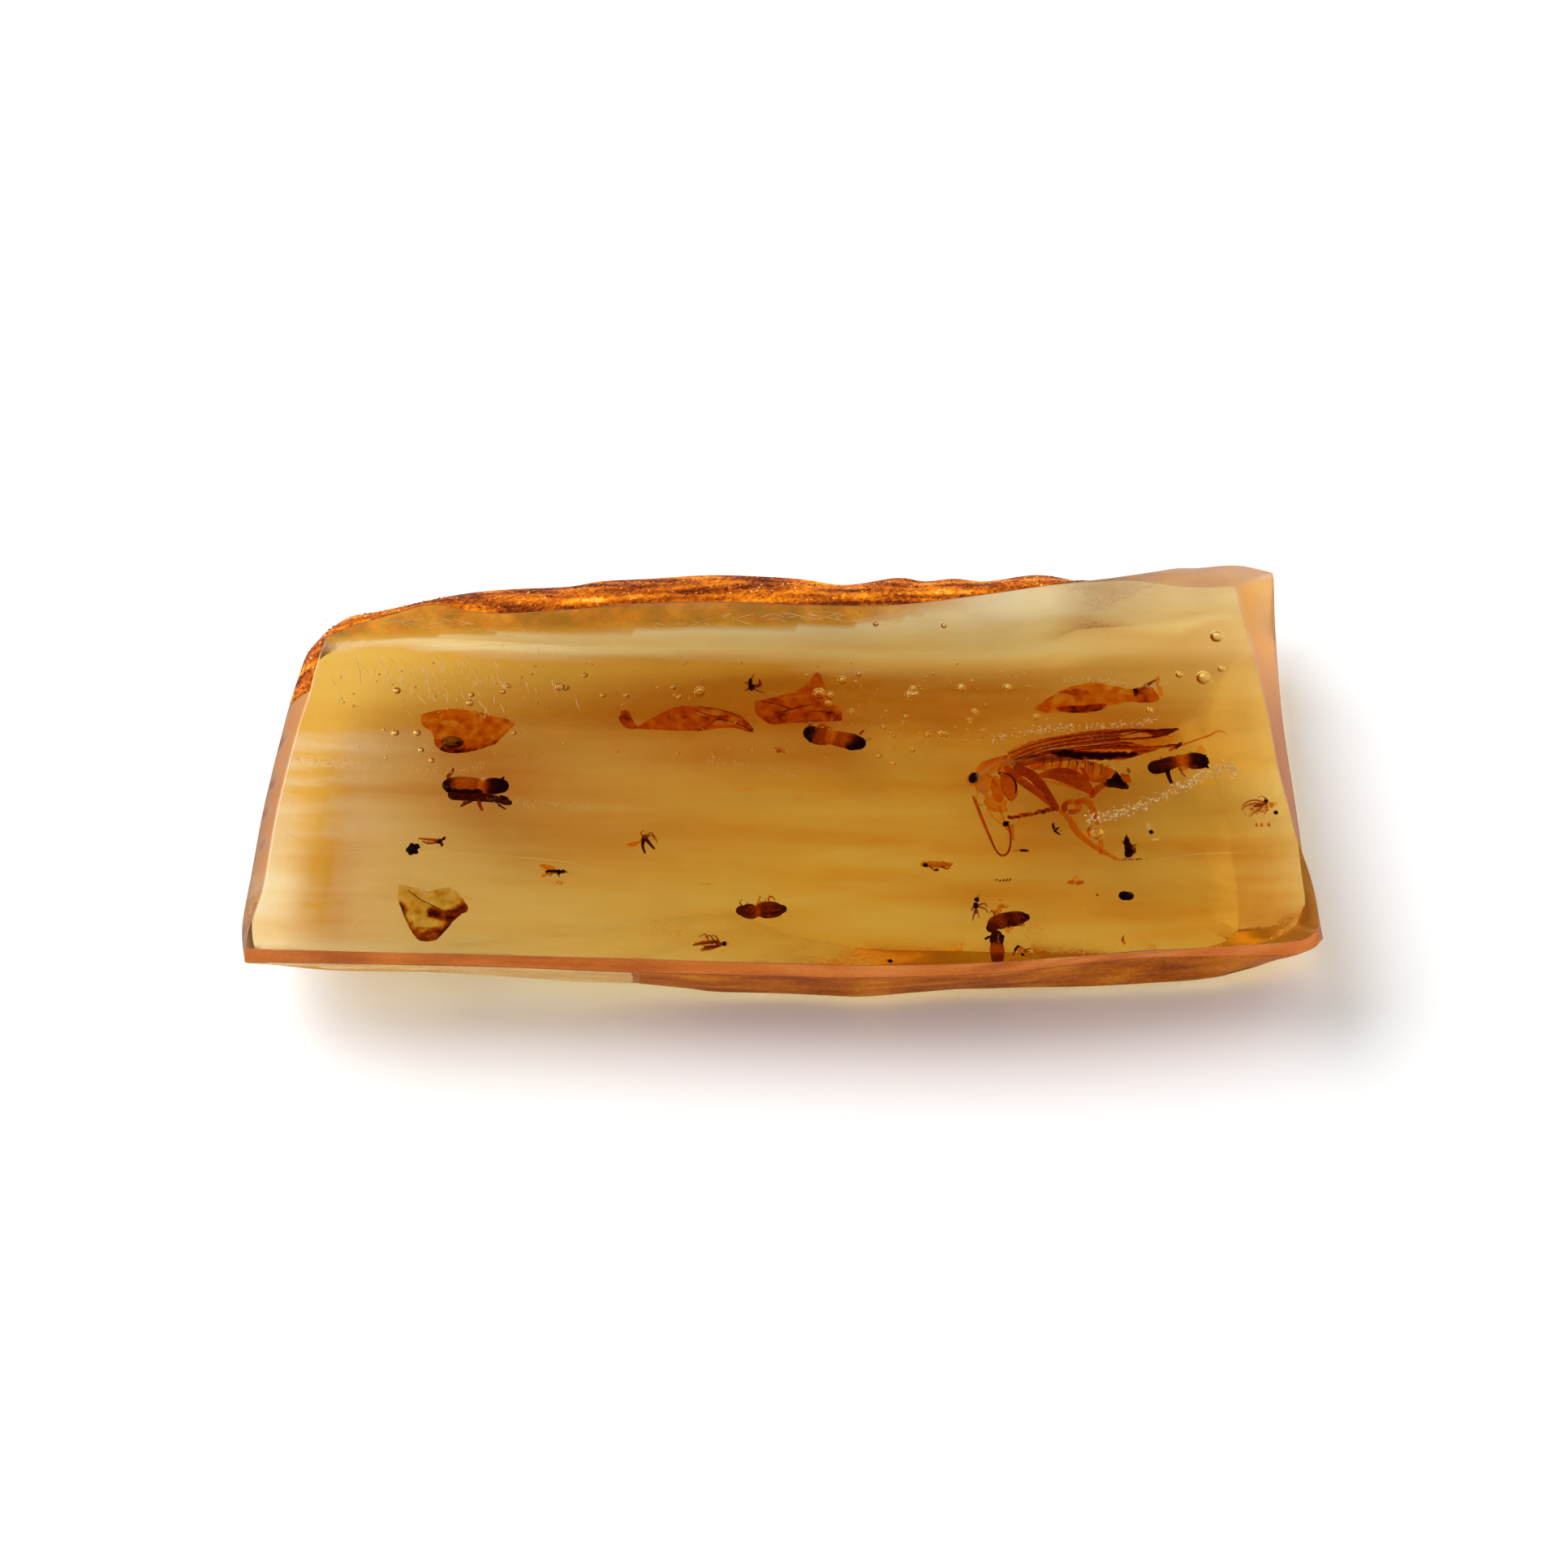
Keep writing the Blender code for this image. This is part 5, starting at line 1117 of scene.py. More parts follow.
borers = {
    "right": {
        "place": (33.7, 0.1, 6.8),
        "rows": [(-2.1, -0.35, 0, 0.60, 0.10), (-1.5, -0.2, 0, 0.60, 0.16), (-0.7, 0.15, 0, 0.55, 0.2),
                 (0.0, 0.3, 0, 0.46, 0.5), (0.5, 0.35, 0, 0.56, 0.46), (1.1, 0.35, 0, 0.72, 0.12),
                 (1.75, 0.3, 0, 0.68, 0.05)],
        "lumps": [((0.2, 0.55, 0.35), (0.75, 0.26, 0.25), 2, 0.6), ((-1.9, -0.8, 0.2), (0.3, 0.16, 0.2), 20, 0.05),
                  ((0.3, -0.35, 0.1), (0.5, 0.3, 0.3), 10, 0.66), ((2.1, 0.5, 0.2), (0.28, 0.2, 0.2), 30, 0.04),
                  ((2.2, -0.3, 0.2), (0.3, 0.14, 0.2), -35, 0.04), ((1.2, -0.35, 0.3), (0.4, 0.2, 0.2), 10, 0.4),
                  ((-1.2, 0.25, 0.4), (0.7, 0.12, 0.2), 24, 0.3)],
        "limbs": [([(-1.1, -0.6), (-1.05, -1.2), (-0.9, -1.75), (-0.7, -2.4)], 0.15, 0.1),
                  ([(-0.1, -0.3), (0.1, -0.9), (0.4, -1.35)], 0.07, 0.5),
                  ([(-1.45, 0.3), (-1.65, 0.75)], 0.04, 0.2), ([(1.0, 1.0), (0.9, 1.35)], 0.03, 0.2),
                  ([(2.0, 0.7), (2.3, 0.9)], 0.06, 0.06), ([(2.2, 0.1), (2.5, 0.1)], 0.06, 0.06)],
        "grains": [((-1.0, 0.0, 0.55), (1.0, 0.5, 0.1), 20, (0.03, 0.06), 0.5),
                   ((1.4, 0.4, 0.65), (0.5, 0.4, 0.1), 12, (0.03, 0.06), 0.45)],
    },
    "centre": {
        "place": (4.4, 3.0, 6.5),
        "rows": [(-2.05, 0.45, 0, 0.66, 0.06), (-1.6, 0.2, 0, 0.76, 0.34), (-0.95, 0.08, 0, 0.74, 0.4),
                 (-0.35, 0.02, 0, 0.62, 0.6), (0.15, -0.12, 0, 0.66, 0.4), (0.9, -0.3, 0, 0.70, 0.42),
                 (1.5, -0.48, 0, 0.74, 0.2), (1.95, -0.58, 0, 0.6, 0.04)],
        "lumps": [((-0.45, 0.2, 0.4), (0.15, 0.48, 0.3), -10, 0.74), ((1.35, -0.95, 0.1), (0.62, 0.36, 0.4), -12, 0.03),
                  # the next two lumps are a painted highlight stripe and a painted highlight spot
                  ((0.7, 0.1, 0.5), (0.55, 0.1, 0.12), -14, 0.82), ((1.2, -0.05, 0.5), (0.2, 0.16, 0.15), 0, 0.86),
                  ((-2.2, -0.05, 0.1), (0.22, 0.5, 0.4), 10, 0.04), ((-2.15, 1.5, 0.1), (0.22, 0.2, 0.2), 0, 0.8),
                  ((2.25, 0.5, 0.1), (0.12, 0.34, 0.12), -40, 0.36), ((2.3, -0.85, 0.1), (0.3, 0.09, 0.1), 40, 0.02),
                  ((2.2, -0.6, 0.2), (0.3, 0.09, 0.1), 25, 0.02)],
        "limbs": [([(-2.1, 0.7), (-2.2, 1.1), (-2.15, 1.45)], 0.12, 0.5),
                  ([(-1.5, 0.7), (-1.4, 1.15), (-1.05, 1.3), (-0.65, 0.9)], 0.12, 0.66),
                  ([(-0.9, 0.8), (-0.75, 1.15), (-0.3, 0.9)], 0.09, 0.7),
                  ([(2.2, -0.45), (2.65, -0.3), (3.1, -0.1)], 0.03, 0.15)],
        "grains": [((-1.4, 0.2, 0.65), (0.8, 0.6, 0.1), 22, (0.03, 0.06), 0.6),
                   ((0.9, -0.3, 0.65), (0.9, 0.4, 0.1), 18, (0.03, 0.06), 0.8)],
    },
    "left": {
        "place": (-26.2, -2.2, 6.9),
        "rows": [(-2.2, 0.1, 0, 0.55, 0.12), (-1.6, 0.1, 0, 0.70, 0.40), (-0.8, 0.08, 0, 0.72, 0.46),
                 (0.0, 0.02, 0, 0.68, 0.42), (0.6, -0.05, 0, 0.58, 0.56), (1.1, -0.02, 0, 0.68, 0.22),
                 (1.7, -0.02, 0, 0.72, 0.07), (2.2, -0.02, 0, 0.62, 0.05)],
        # the first lump, white, is a painted glint
        "lumps": [((0.75, 0.42, 0.5), (0.26, 0.3, 0.12), 0, 1.0), ((0.75, -0.3, 0.4), (0.14, 0.4, 0.2), 0, 0.62),
                  ((-2.3, -0.25, 0.1), (0.32, 0.45, 0.3), 20, 0.02), ((-1.7, -0.6, 0.2), (0.6, 0.3, 0.3), -12, 0.04),
                  ((-0.7, -0.65, 0.2), (0.7, 0.28, 0.3), -4, 0.07), ((0.2, -0.62, 0.2), (0.5, 0.2, 0.3), -6, 0.12),
                  ((2.1, 0.3, 0.2), (0.26, 0.4, 0.3), 0, 0.04), ((1.25, 0.4, 0.35), (0.28, 0.22, 0.2), 0, 0.42),
                  ((2.5, -1.2, 0.1), (0.42, 0.12, 0.15), -18, 0.04)],
        "limbs": [([(-2.2, 0.6), (-2.3, 1.0), (-2.0, 1.3), (-1.95, 1.7)], 0.13, 0.42),
                  ([(-1.7, -0.95), (0.0, -1.15), (1.5, -1.35), (2.9, -1.75)], 0.38, 0.2),
                  ([(-0.3, -1.6), (-0.7, -1.85), (-1.05, -2.1)], 0.13, 0.34),
                  ([(-0.6, -1.55), (-0.95, -1.75)], 0.09, 0.4),
                  ([(0.5, -1.5), (0.45, -1.9), (0.7, -2.5)], 0.14, 0.46),
                  ([(2.1, -2.0), (2.7, -2.45)], 0.07, 0.2), ([(2.2, 0.5), (2.4, 0.85)], 0.1, 0.08)],
        "grains": [((0.6, -1.4, 0.35), (2.2, 0.28, 0.1), 90, (0.03, 0.07), 0.96),
                   ((-1.4, -0.35, 0.65), (1.2, 0.3, 0.1), 40, (0.03, 0.06), 0.7),
                   ((-0.8, 0.5, 0.6), (1.2, 0.2, 0.1), 20, (0.03, 0.06), 0.6)],
    },
    "waisted": {
        "place": (-1.9, -15.0, 7.95),
        "rows": [(-1.62, -0.2, 0, 0.42, 0.14), (-1.2, -0.26, 0, 0.60, 0.2), (-0.7, -0.3, 0, 0.62, 0.24),
                 (-0.32, -0.24, 0, 0.48, 0.36), (0.1, -0.16, 0, 0.66, 0.22), (0.8, -0.13, 0, 0.70, 0.22),
                 (1.4, -0.1, 0, 0.58, 0.18), (1.74, -0.05, 0, 0.36, 0.12)],
        "lumps": [((-1.25, 0.05, 0.45), (0.16, 0.14, 0.12), 0, 0.02), ((0.0, 0.45, 0.3), (0.28, 0.14, 0.2), 0, 0.8),
                  ((-1.0, -0.6, 0.3), (0.5, 0.12, 0.2), -4, 0.34), ((1.0, -0.5, 0.3), (0.6, 0.12, 0.2), 4, 0.3)],
        "limbs": [([(-0.3, 0.35), (-0.2, 0.8), (-0.05, 1.2)], 0.05, 0.6), ([(0.3, 0.45), (0.38, 0.9)], 0.05, 0.6),
                  ([(0.6, 0.5), (0.65, 1.0), (0.9, 1.15), (1.15, 0.8)], 0.06, 0.6),
                  ([(0.75, 1.1), (0.65, 1.3)], 0.03, 0.6), ([(-1.55, 0.2), (-1.75, 0.55), (-1.6, 0.85)], 0.04, 0.4),
                  ([(-1.1, 0.3), (-1.2, 0.6)], 0.04, 0.5), ([(-0.33, 0.25), (-0.3, -0.3), (-0.33, -0.85)], 0.03, 0.85)],
        "grains": [((-1.0, -0.25, 0.55), (0.6, 0.4, 0.1), 20, (0.03, 0.06), 0.62),
                   ((0.8, -0.1, 0.62), (0.8, 0.4, 0.1), 34, (0.03, 0.06), 0.62)],
    },
    "crossing": {
        "place": (18.5, -16.2, 8.1),
        "rows": [(-1.4, -0.75, 0, 0.40, 0.14), (-1.05, -0.32, 0, 0.58, 0.22), (-0.5, -0.1, 0, 0.64, 0.26),
                 (0.1, 0.05, 0, 0.64, 0.16), (0.7, 0.16, 0, 0.62, 0.22), (1.2, 0.25, 0, 0.50, 0.14),
                 (1.45, 0.27, 0, 0.34, 0.1)],
        "lumps": [((-0.1, -1.0, 0.1), (0.2, 0.3, 0.2), 20, 0.74), ((0.25, -0.8, 0.1), (0.16, 0.2, 0.15), 0, 0.7),
                  ((1.1, -0.5, 0.1), (0.3, 0.14, 0.15), 0, 0.66), ((-0.75, 0.9, 0.1), (0.34, 0.26, 0.2), 40, 0.7),
                  ((-0.55, 1.4, 0.1), (0.3, 0.2, 0.15), 10, 0.66), ((-0.6, 1.9, 0.1), (0.1, 0.08, 0.1), 0, 0.5),
                  ((-1.05, 0.75, 0.1), (0.2, 0.2, 0.15), 0, 0.6), ((0.3, 0.2, 0.5), (0.1, 0.36, 0.1), 10, 0.05)],
        "limbs": [([(-1.1, 0.5), (-1.3, 0.9), (-1.45, 0.7)], 0.05, 0.5), ([(-0.3, 1.2), (0.1, 1.35)], 0.06, 0.66)],
        "grains": [((-0.7, 1.2, 0.2), (0.55, 0.5, 0.1), 40, (0.03, 0.07), 0.7),
                   # four white grains: painted glints
                   ((-0.68, 1.12, 0.3), (0.15, 0.15, 0.05), 4, (0.07, 0.09), 1.0),
                   ((0.2, 0.05, 0.6), (1.3, 0.35, 0.1), 34, (0.03, 0.06), 0.56)],
    },
    "front": {
        "place": (17.7, -18.6, 8.35),
        "rows": [(-0.2, 0.8, 0, 0.44, 0.1), (-0.2, 0.35, 0.05, 0.54, 0.06), (-0.2, -0.05, 0.1, 0.46, 0.2),
                 (-0.2, -0.5, 0.15, 0.54, 0.42), (-0.2, -0.95, 0.2, 0.54, 0.34), (-0.2, -1.45, 0.25, 0.48, 0.2)],
        "lumps": [((-0.95, 0.55, 0.1), (0.3, 0.1, 0.12), 30, 0.05), ((-0.45, -0.4, 0.5), (0.14, 0.3, 0.14), 0, 0.66),
                  ((0.3, 0.6, 0.2), (0.16, 0.2, 0.15), 0, 0.05)],
        # the first limb, pale, is a painted highlight streak
        "limbs": [([(-0.05, 0.65, 0.6), (-0.1, 0.2, 0.65), (-0.05, -0.2, 0.6)], 0.04, 0.95),
                  ([(-0.7, 0.7), (-1.1, 0.35)], 0.06, 0.06)],
        "grains": [((-0.2, -0.3, 0.6), (0.4, 0.9, 0.1), 24, (0.03, 0.06), 0.5)],
    },
}

smallOnes = {
    "midge": {
        "size": 1.15, "stout": 2.0, "place": (-11.5, -8.1, 7.4),
        "lumps": [((-0.15, 0.4, 0), (0.26, 0.2, 0.2), 30, 0.3), ((-0.3, 0.1, 0), (0.16, 0.2, 0.16), 0, 0.2)],
        "limbs": [([(-0.25, 0.1), (-0.3, -0.45), (-0.12, -1.0)], 0.07, 0.16),
                  ([(0.0, 0.1), (0.28, -0.3), (0.54, -0.65)], 0.07, 0.2),
                  ([(0.0, 0.5), (0.3, 0.75), (0.64, 0.25), (0.75, -0.1)], 0.03, 0.4),
                  ([(0.1, 0.45), (0.4, 0.5), (0.55, 0.1)], 0.03, 0.45),
                  ([(-0.3, 0.45), (-0.45, 0.75), (-0.2, 0.95)], 0.03, 0.4)],
        "sheets": [([(-0.3, 0.1), (-0.8, -0.05), (-1.4, -0.25), (-1.3, -0.45), (-0.7, -0.35)], 0.1, 0.74)],
    },
    "gnat": {
        "size": 1.15, "stout": 2.0, "place": (-19.1, -11.1, 7.65),
        "lumps": [((-0.25, -0.1, 0), (0.44, 0.19, 0.18), 2, 0.04), ((0.28, -0.14, 0), (0.2, 0.22, 0.2), 0, 0.02),
                  ((0.6, -0.08, 0), (0.15, 0.17, 0.15), 0, 0.05)],
        "limbs": [([(0.7, -0.1), (0.95, -0.2)], 0.03, 0.2), ([(0.2, -0.3), (0.35, -0.6)], 0.03, 0.3),
                  ([(-0.2, -0.3), (-0.35, -0.55)], 0.03, 0.3)],
        "sheets": [([(0.15, 0.1), (-0.5, 0.42), (-1.05, 0.47), (-1.1, 0.3), (-0.6, 0.02)], 0.15, 0.8),
                   ([(0.15, -0.25), (-0.5, -0.5), (-0.95, -0.68), (-1.0, -0.5), (-0.5, -0.22)], 0.15, 0.8)],
        "grains": [((0.3, -1.05, 0), (0.45, 0.22, 0.05), 26, (0.03, 0.08), 0.6)],
    },
    "winged_gnat": {
        "size": 1.05, "stout": 1.8, "place": (-5.9, -18.4, 8.2),
        "lumps": [((0.94, -0.14, 0), (0.2, 0.2, 0.18), 0, 0.01), ((0.5, -0.2, 0), (0.28, 0.24, 0.22), 0, 0.3),
                  ((-0.1, -0.42, 0), (0.6, 0.17, 0.17), 4, 0.24)],
        "limbs": [([(0.4, 0.0), (-0.3, -0.1), (-1.0, -0.2), (-1.45, -0.3)], 0.08, 0.36),
                  ([(0.3, 0.1), (-0.4, 0.05), (-1.0, -0.05)], 0.05, 0.5),
                  ([(-0.25, 0.0), (-0.45, 0.5), (-0.6, 0.73), (-1.05, 0.45)], 0.04, 0.4),
                  ([(0.15, 0.1), (-0.2, 0.6), (-0.5, 0.4)], 0.04, 0.4), ([(0.5, 0.05), (0.3, 0.48), (0.0, 0.6)], 0.04, 0.4),
                  ([(1.1, 0.1), (1.25, -0.1), (1.12, -0.35), (0.9, -0.42)], 0.025, 0.98)],
        "sheets": [([(0.35, -0.6), (-0.3, -0.8), (-0.85, -0.85), (-0.8, -0.65), (-0.2, -0.5)], 0.1, 0.5),
                   ([(0.3, 0.0), (-0.6, 0.12), (-1.3, -0.1), (-1.4, -0.35), (-0.6, -0.3)], 0.15, 0.7)],
    },
    "gall_midge": {
        "size": 1.1, "stout": 2.0, "place": (-2.9, 8.7, 6.05),
        "lumps": [((0.0, 0.4, 0), (0.16, 0.3, 0.16), 0, 0.06), ((0.08, -0.15, 0), (0.28, 0.3, 0.22), 0, 0.04)],
        "limbs": [([(0.2, 0.0), (0.5, -0.1), (0.75, 0.1), (0.7, 0.5)], 0.06, 0.3), ([(0.2, -0.3), (0.7, -0.6), (1.2, -0.85)], 0.03, 0.3),
                  ([(-0.1, 0.1), (-0.45, 0.3)], 0.04, 0.3), ([(-0.1, -0.3), (-0.4, -0.5)], 0.04, 0.3),
                  ([(0.1, 0.7), (0.3, 1.1)], 0.03, 0.3)],
        "sheets": [([(0.15, -0.1), (0.6, 0.2), (0.95, 0.1), (0.7, -0.3)], 0.1, 0.6)],
    },
    "ant": {
        "size": 1.1, "stout": 1.9, "place": (15.9, -14.3, 7.9),
        "lumps": [((0.09, 0.18, 0), (0.2, 0.19, 0.18), 0, 0.02), ((0.0, -0.36, 0), (0.22, 0.28, 0.2), 0, 0.03),
                  ((0.0, -0.86, 0), (0.18, 0.2, 0.18), 0, 0.3)],
        "limbs": [([(0.2, -0.35), (0.65, -0.2), (0.82, -0.5)], 0.04, 0.36), ([(0.2, -0.5), (0.7, -0.7), (0.85, -1.0)], 0.04, 0.4),
                  ([(-0.15, -0.4), (-0.35, -0.85)], 0.04, 0.3), ([(-0.1, -0.95), (-0.3, -1.7)], 0.04, 0.4),
                  ([(0.1, -0.95), (0.2, -1.5)], 0.03, 0.45), ([(0.15, 0.35), (0.3, 0.7)], 0.025, 0.4)],
    },
    "orange_gnat": {
        "size": 1.2, "stout": 1.7, "place": (12.8, -10.6, 7.6),
        "rows": [(-1.0, 0.12, 0, 0.16, 0.6), (-0.3, 0.1, 0, 0.22, 0.64), (0.4, 0.08, 0, 0.2, 0.6), (1.0, 0.15, 0, 0.1, 0.66)],
        "lumps": [((-0.82, 0.02, 0.1), (0.2, 0.18, 0.16), 0, 0.08), ((-0.05, -0.35, 0), (0.16, 0.1, 0.1), 0, 0.1)],
        "limbs": [([(0.3, -0.1), (0.7, -0.3), (0.95, 0.0)], 0.05, 0.5), ([(-0.5, -0.1), (-0.2, -0.5)], 0.05, 0.5)],
        "grains": [((0.0, 0.1, 0.1), (1.15, 0.36, 0.1), 110, (0.03, 0.08), 0.62)],
    },
    "grub": {
        "size": 1.1, "stout": 1.7, "place": (28.9, -8.8, 7.45),
        "lumps": [((-0.1, 0.7, 0), (0.22, 0.3, 0.2), 10, 0.06), ((-0.08, 0.2, 0), (0.34, 0.32, 0.28), 0, 0.08),
                  ((0.0, -0.3, 0), (0.36, 0.34, 0.28), 0, 0.05), ((0.3, -0.15, 0), (0.24, 0.3, 0.2), 20, 0.26),
                  ((-0.1, -0.65, 0), (0.26, 0.2, 0.2), 0, 0.08)],
        "limbs": [([(-0.3, 0.4), (-0.5, 0.6)], 0.05, 0.1), ([(0.3, 0.2), (0.55, 0.3)], 0.05, 0.3),
                  ([(-0.2, 0.9), (-0.1, 1.2)], 0.05, 0.1)],
        "grains": [((0.1, -0.98, 0), (1.2, 0.1, 0.05), 26, (0.03, 0.08), 0.2)],
        "lumpy": 0.6,
    },
    "weevil": {
        "size": 1.0, "stout": 1.7, "place": (20.4, -18.9, 8.3),
        "lumps": [((-1.35, -0.2, 0), (0.12, 0.26, 0.15), -25, 0.0), ((-1.1, 0.0, 0), (0.22, 0.13, 0.15), -20, 0.0),
                  ((-0.9, -0.3, 0), (0.36, 0.3, 0.25), -30, 0.58), ((-0.68, -0.7, 0), (0.26, 0.2, 0.2), -30, 0.62),
                  ((-0.82, -0.8, 0.15), (0.16, 0.12, 0.12), -20, 0.04), ((-0.42, -1.05, 0), (0.14, 0.2, 0.14), 20, 0.66)],
        "limbs": [([(-0.6, -0.35), (-0.15, -0.15)], 0.05, 0.2), ([(-0.55, -0.5), (-0.2, -0.5)], 0.04, 0.3),
                  ([(-1.4, -0.4), (-1.6, -0.9)], 0.04, 0.3)],
    },
    "hairy_bug": {
        "size": 1.0, "stout": 2.0, "place": (39.9, -4.3, 7.1),
        "lumps": [((0.86, 0.45, 0), (0.2, 0.22, 0.16), 0, 0.12), ((1.25, 0.05, 0), (0.22, 0.28, 0.16), 0, 0.6),
                  ((1.55, 0.2, 0), (0.22, 0.2, 0.14), 0, 0.86), ((1.6, -0.72, 0), (0.2, 0.2, 0.16), 40, 0.06),
                  ((0.3, 0.05, 0), (0.6, 0.16, 0.16), 14, 0.34), ((-0.11, -2.0, 0), (0.09, 0.2, 0.08), 0, 0.5),
                  ((0.3, -2.0, 0), (0.11, 0.22, 0.08), 0, 0.5), ((0.92, -1.98, 0), (0.13, 0.18, 0.08), 0, 0.46)],
        "limbs": [([(0.6, 0.3), (0.0, 0.5), (-0.7, 0.35), (-1.2, -0.1)], 0.05, 0.5),
                  ([(0.5, 0.1), (-0.2, 0.2), (-0.9, -0.1), (-1.3, -0.5)], 0.04, 0.5),
                  ([(0.5, 0.0), (0.2, -0.5), (-0.3, -0.8), (-0.6, -1.2)], 0.04, 0.5),
                  ([(0.8, 0.2), (0.9, -0.4), (0.6, -0.9)], 0.04, 0.5), ([(0.9, 0.6), (0.6, 0.9), (0.2, 0.8)], 0.03, 0.5)],
        "grains": [((0.0, -0.3, 0), (1.2, 0.7, 0.1), 150, (0.03, 0.07), 0.5)],
    },
    "thin_fly": {
        "size": 1.1, "stout": 1.7, "place": (-29.3, -8.0, 7.4),
        "lumps": [((0.35, -0.05, 0), (0.28, 0.2, 0.2), 20, 0.1), ((0.68, 0.2, 0), (0.2, 0.12, 0.14), 50, 0.14),
                  ((0.55, -0.35, 0), (0.12, 0.2, 0.14), 10, 0.16)],
        "limbs": [([(0.2, 0.0), (-0.5, 0.1), (-1.2, 0.15)], 0.08, 0.56), ([(0.1, -0.2), (-0.5, -0.3), (-0.9, -0.1)], 0.06, 0.5)],
        "grains": [((-0.5, -0.05, 0), (0.7, 0.3, 0.05), 50, (0.03, 0.07), 0.6)],
    },
}

roundOnes = {
    "pellet": {
        "place": (-31.1, -8.9, 7.45),
        "lumps": [((0.0, 0.0, 0.0), (0.48, 0.46, 0.40), 0, 0.08), ((0.32, 0.3, 0.05), (0.24, 0.24, 0.24), 0, 0.1),
                  ((-0.1, 0.45, 0.05), (0.2, 0.18, 0.2), 0, 0.04), ((-0.38, -0.05, 0.0), (0.2, 0.24, 0.2), 0, 0.06),
                  ((-0.15, -0.42, 0.0), (0.22, 0.16, 0.2), 0, 0.08), ((0.3, -0.3, 0.05), (0.2, 0.2, 0.2), 0, 0.05)],
        "limbs": [([(0.45, 0.1), (0.62, 0.2)], 0.06, 0.1)],
    },
    "seed": {
        "place": (28.4, -13.7, 7.85),
        "lumps": [((-0.16, 0.0, 0.0), (0.48, 0.42, 0.42), -4, 0.02), ((0.2, -0.02, 0.02), (0.46, 0.4, 0.4), -4, 0.1),
                  ((0.3, 0.12, 0.3), (0.22, 0.1, 0.12), -10, 0.36)],
        "lumpy": 0.12,
    },
}

ovalBeetle = {
    "place": (-28.5, 2.4, 7.05),
    "lumps": [((0.18, -0.12, 0.0), (0.96, 0.62, 0.42), -4, 0.2), ((0.18, -0.1, 0.12), (0.86, 0.52, 0.4), -4, 0.6),
              # the two thin pale lumps on top are painted highlight stripes
              ((0.62, -0.32, 0.3), (0.3, 0.16, 0.2), -8, 0.14), ((0.1, 0.1, 0.42), (0.45, 0.07, 0.08), -8, 0.92),
              ((0.2, -0.12, 0.46), (0.4, 0.06, 0.06), -8, 0.9), ((-0.5, -0.3, 0.2), (0.2, 0.2, 0.16), 0, 0.8)],
    "limbs": [([(-0.6, -0.6), (-0.8, -0.9)], 0.05, 0.3), ([(0.1, -0.7), (0.0, -1.0)], 0.05, 0.3)],
    "lumpy": 0.04,
}


def buildCreatures():
    chitin = chitinMaterial("beetle chitin, dark red-brown", chitinStops, 0.8, 0.22, mottle=0.5, grain=0.2)
    thin = chitinMaterial("thin insect cuticle, brown", chitinStops, 0.74, 0.35, mottle=0.22, grain=0.25)
    coat = chitinMaterial("seed coat, nearly black", [(0.0, "120C0C"), (0.12, "2A1A16"), (0.3, "6A5A66"), (1.0, "A89AA8")],
                          0.25, 0.4, mottle=0.12, grain=0.3)
    amber = chitinMaterial("beetle chitin, amber and glossy", chitinStops, 0.85, 0.12, mottle=0.12, grain=0.4)
    for name, spec in borers.items():
        buildCreature(name + "_borer", spec, chitin, ("pinhole_borer_" + name,))
    for name, spec in smallOnes.items():
        buildCreature(name + "_sealed", spec, thin, (name,))
    for name, spec in roundOnes.items():
        buildCreature(name + "_sealed", spec, coat, (name,))
    buildCreature("oval_beetle_sealed", ovalBeetle, amber, ("oval_beetle",))


# Leaves

def nearLine(x, y, line):
    # distance from a point to a line of points
    best = 1e9
    spot = Vector((x, y))
    for a, b in zip(line, line[1:]):
        start = Vector(a)
        along = Vector(b) - start
        share = max(0.0, min(1.0, (spot - start).dot(along) / along.length_squared))
        best = min(best, (start + along * share - spot).length)
    return best


leafGreen = {
    "place": (-29.3, -15.5, 7.9), "turn": (4, -3, 0),
    "outline": [(-2.75, 2.8), (-2.35, 2.8), (-1.5, 2.55), (-0.7, 2.3), (-0.1, 2.15), (0.65, 2.4), (1.45, 2.5),
                (2.1, 2.15), (2.7, 1.35), (3.15, 0.55), (3.05, 0.15), (2.6, -0.1), (1.95, -0.8), (1.4, -1.6),
                (0.9, -2.25), (0.6, -2.55), (-0.1, -2.65), (-0.85, -2.5), (-1.35, -1.85), (-1.9, -0.8),
                (-2.3, 0.3), (-2.7, 1.5)],
    "topEdge": [(-2.7, 2.85), (-2.35, 2.8), (-1.5, 2.55), (-0.7, 2.3), (-0.1, 2.15), (0.65, 2.4), (1.45, 2.5)],
    "lowerEdge": [(3.1, 0.3), (2.6, -0.1), (1.95, -0.8), (1.4, -1.6), (0.9, -2.25), (0.0, -2.7), (-0.9, -2.5)],
    "leftEdge": [(-2.5, 0.9), (-2.3, 0.3), (-1.9, -0.8), (-1.35, -1.85), (-0.85, -2.5)],
    "fold": [(-1.9, 2.3), (-1.0, 1.5), (0.0, 0.9), (1.0, 0.3), (1.9, 0.15)],
    "patch": [(0.2, 0.1), (0.9, -0.05), (1.7, -0.2), (2.8, 0.25)],
}


def greenTone(x, y):
    spec = leafGreen
    tone = 0.74 + 0.08 * math.sin(2.1 * x + 1.3 * y)
    lower = nearLine(x, y, spec["lowerEdge"])
    tone = min(tone, 0.16 + 0.6 * max(0.0, lower - 0.22))
    tone = min(tone, 0.22 + 1.2 * max(0.0, nearLine(x, y, spec["leftEdge"]) - 0.12))
    tone = min(tone, 0.14 + 1.6 * max(0.0, nearLine(x, y, spec["patch"]) - 0.34))
    if y < -1.3:
        tone = min(tone, 0.34)
    return tone


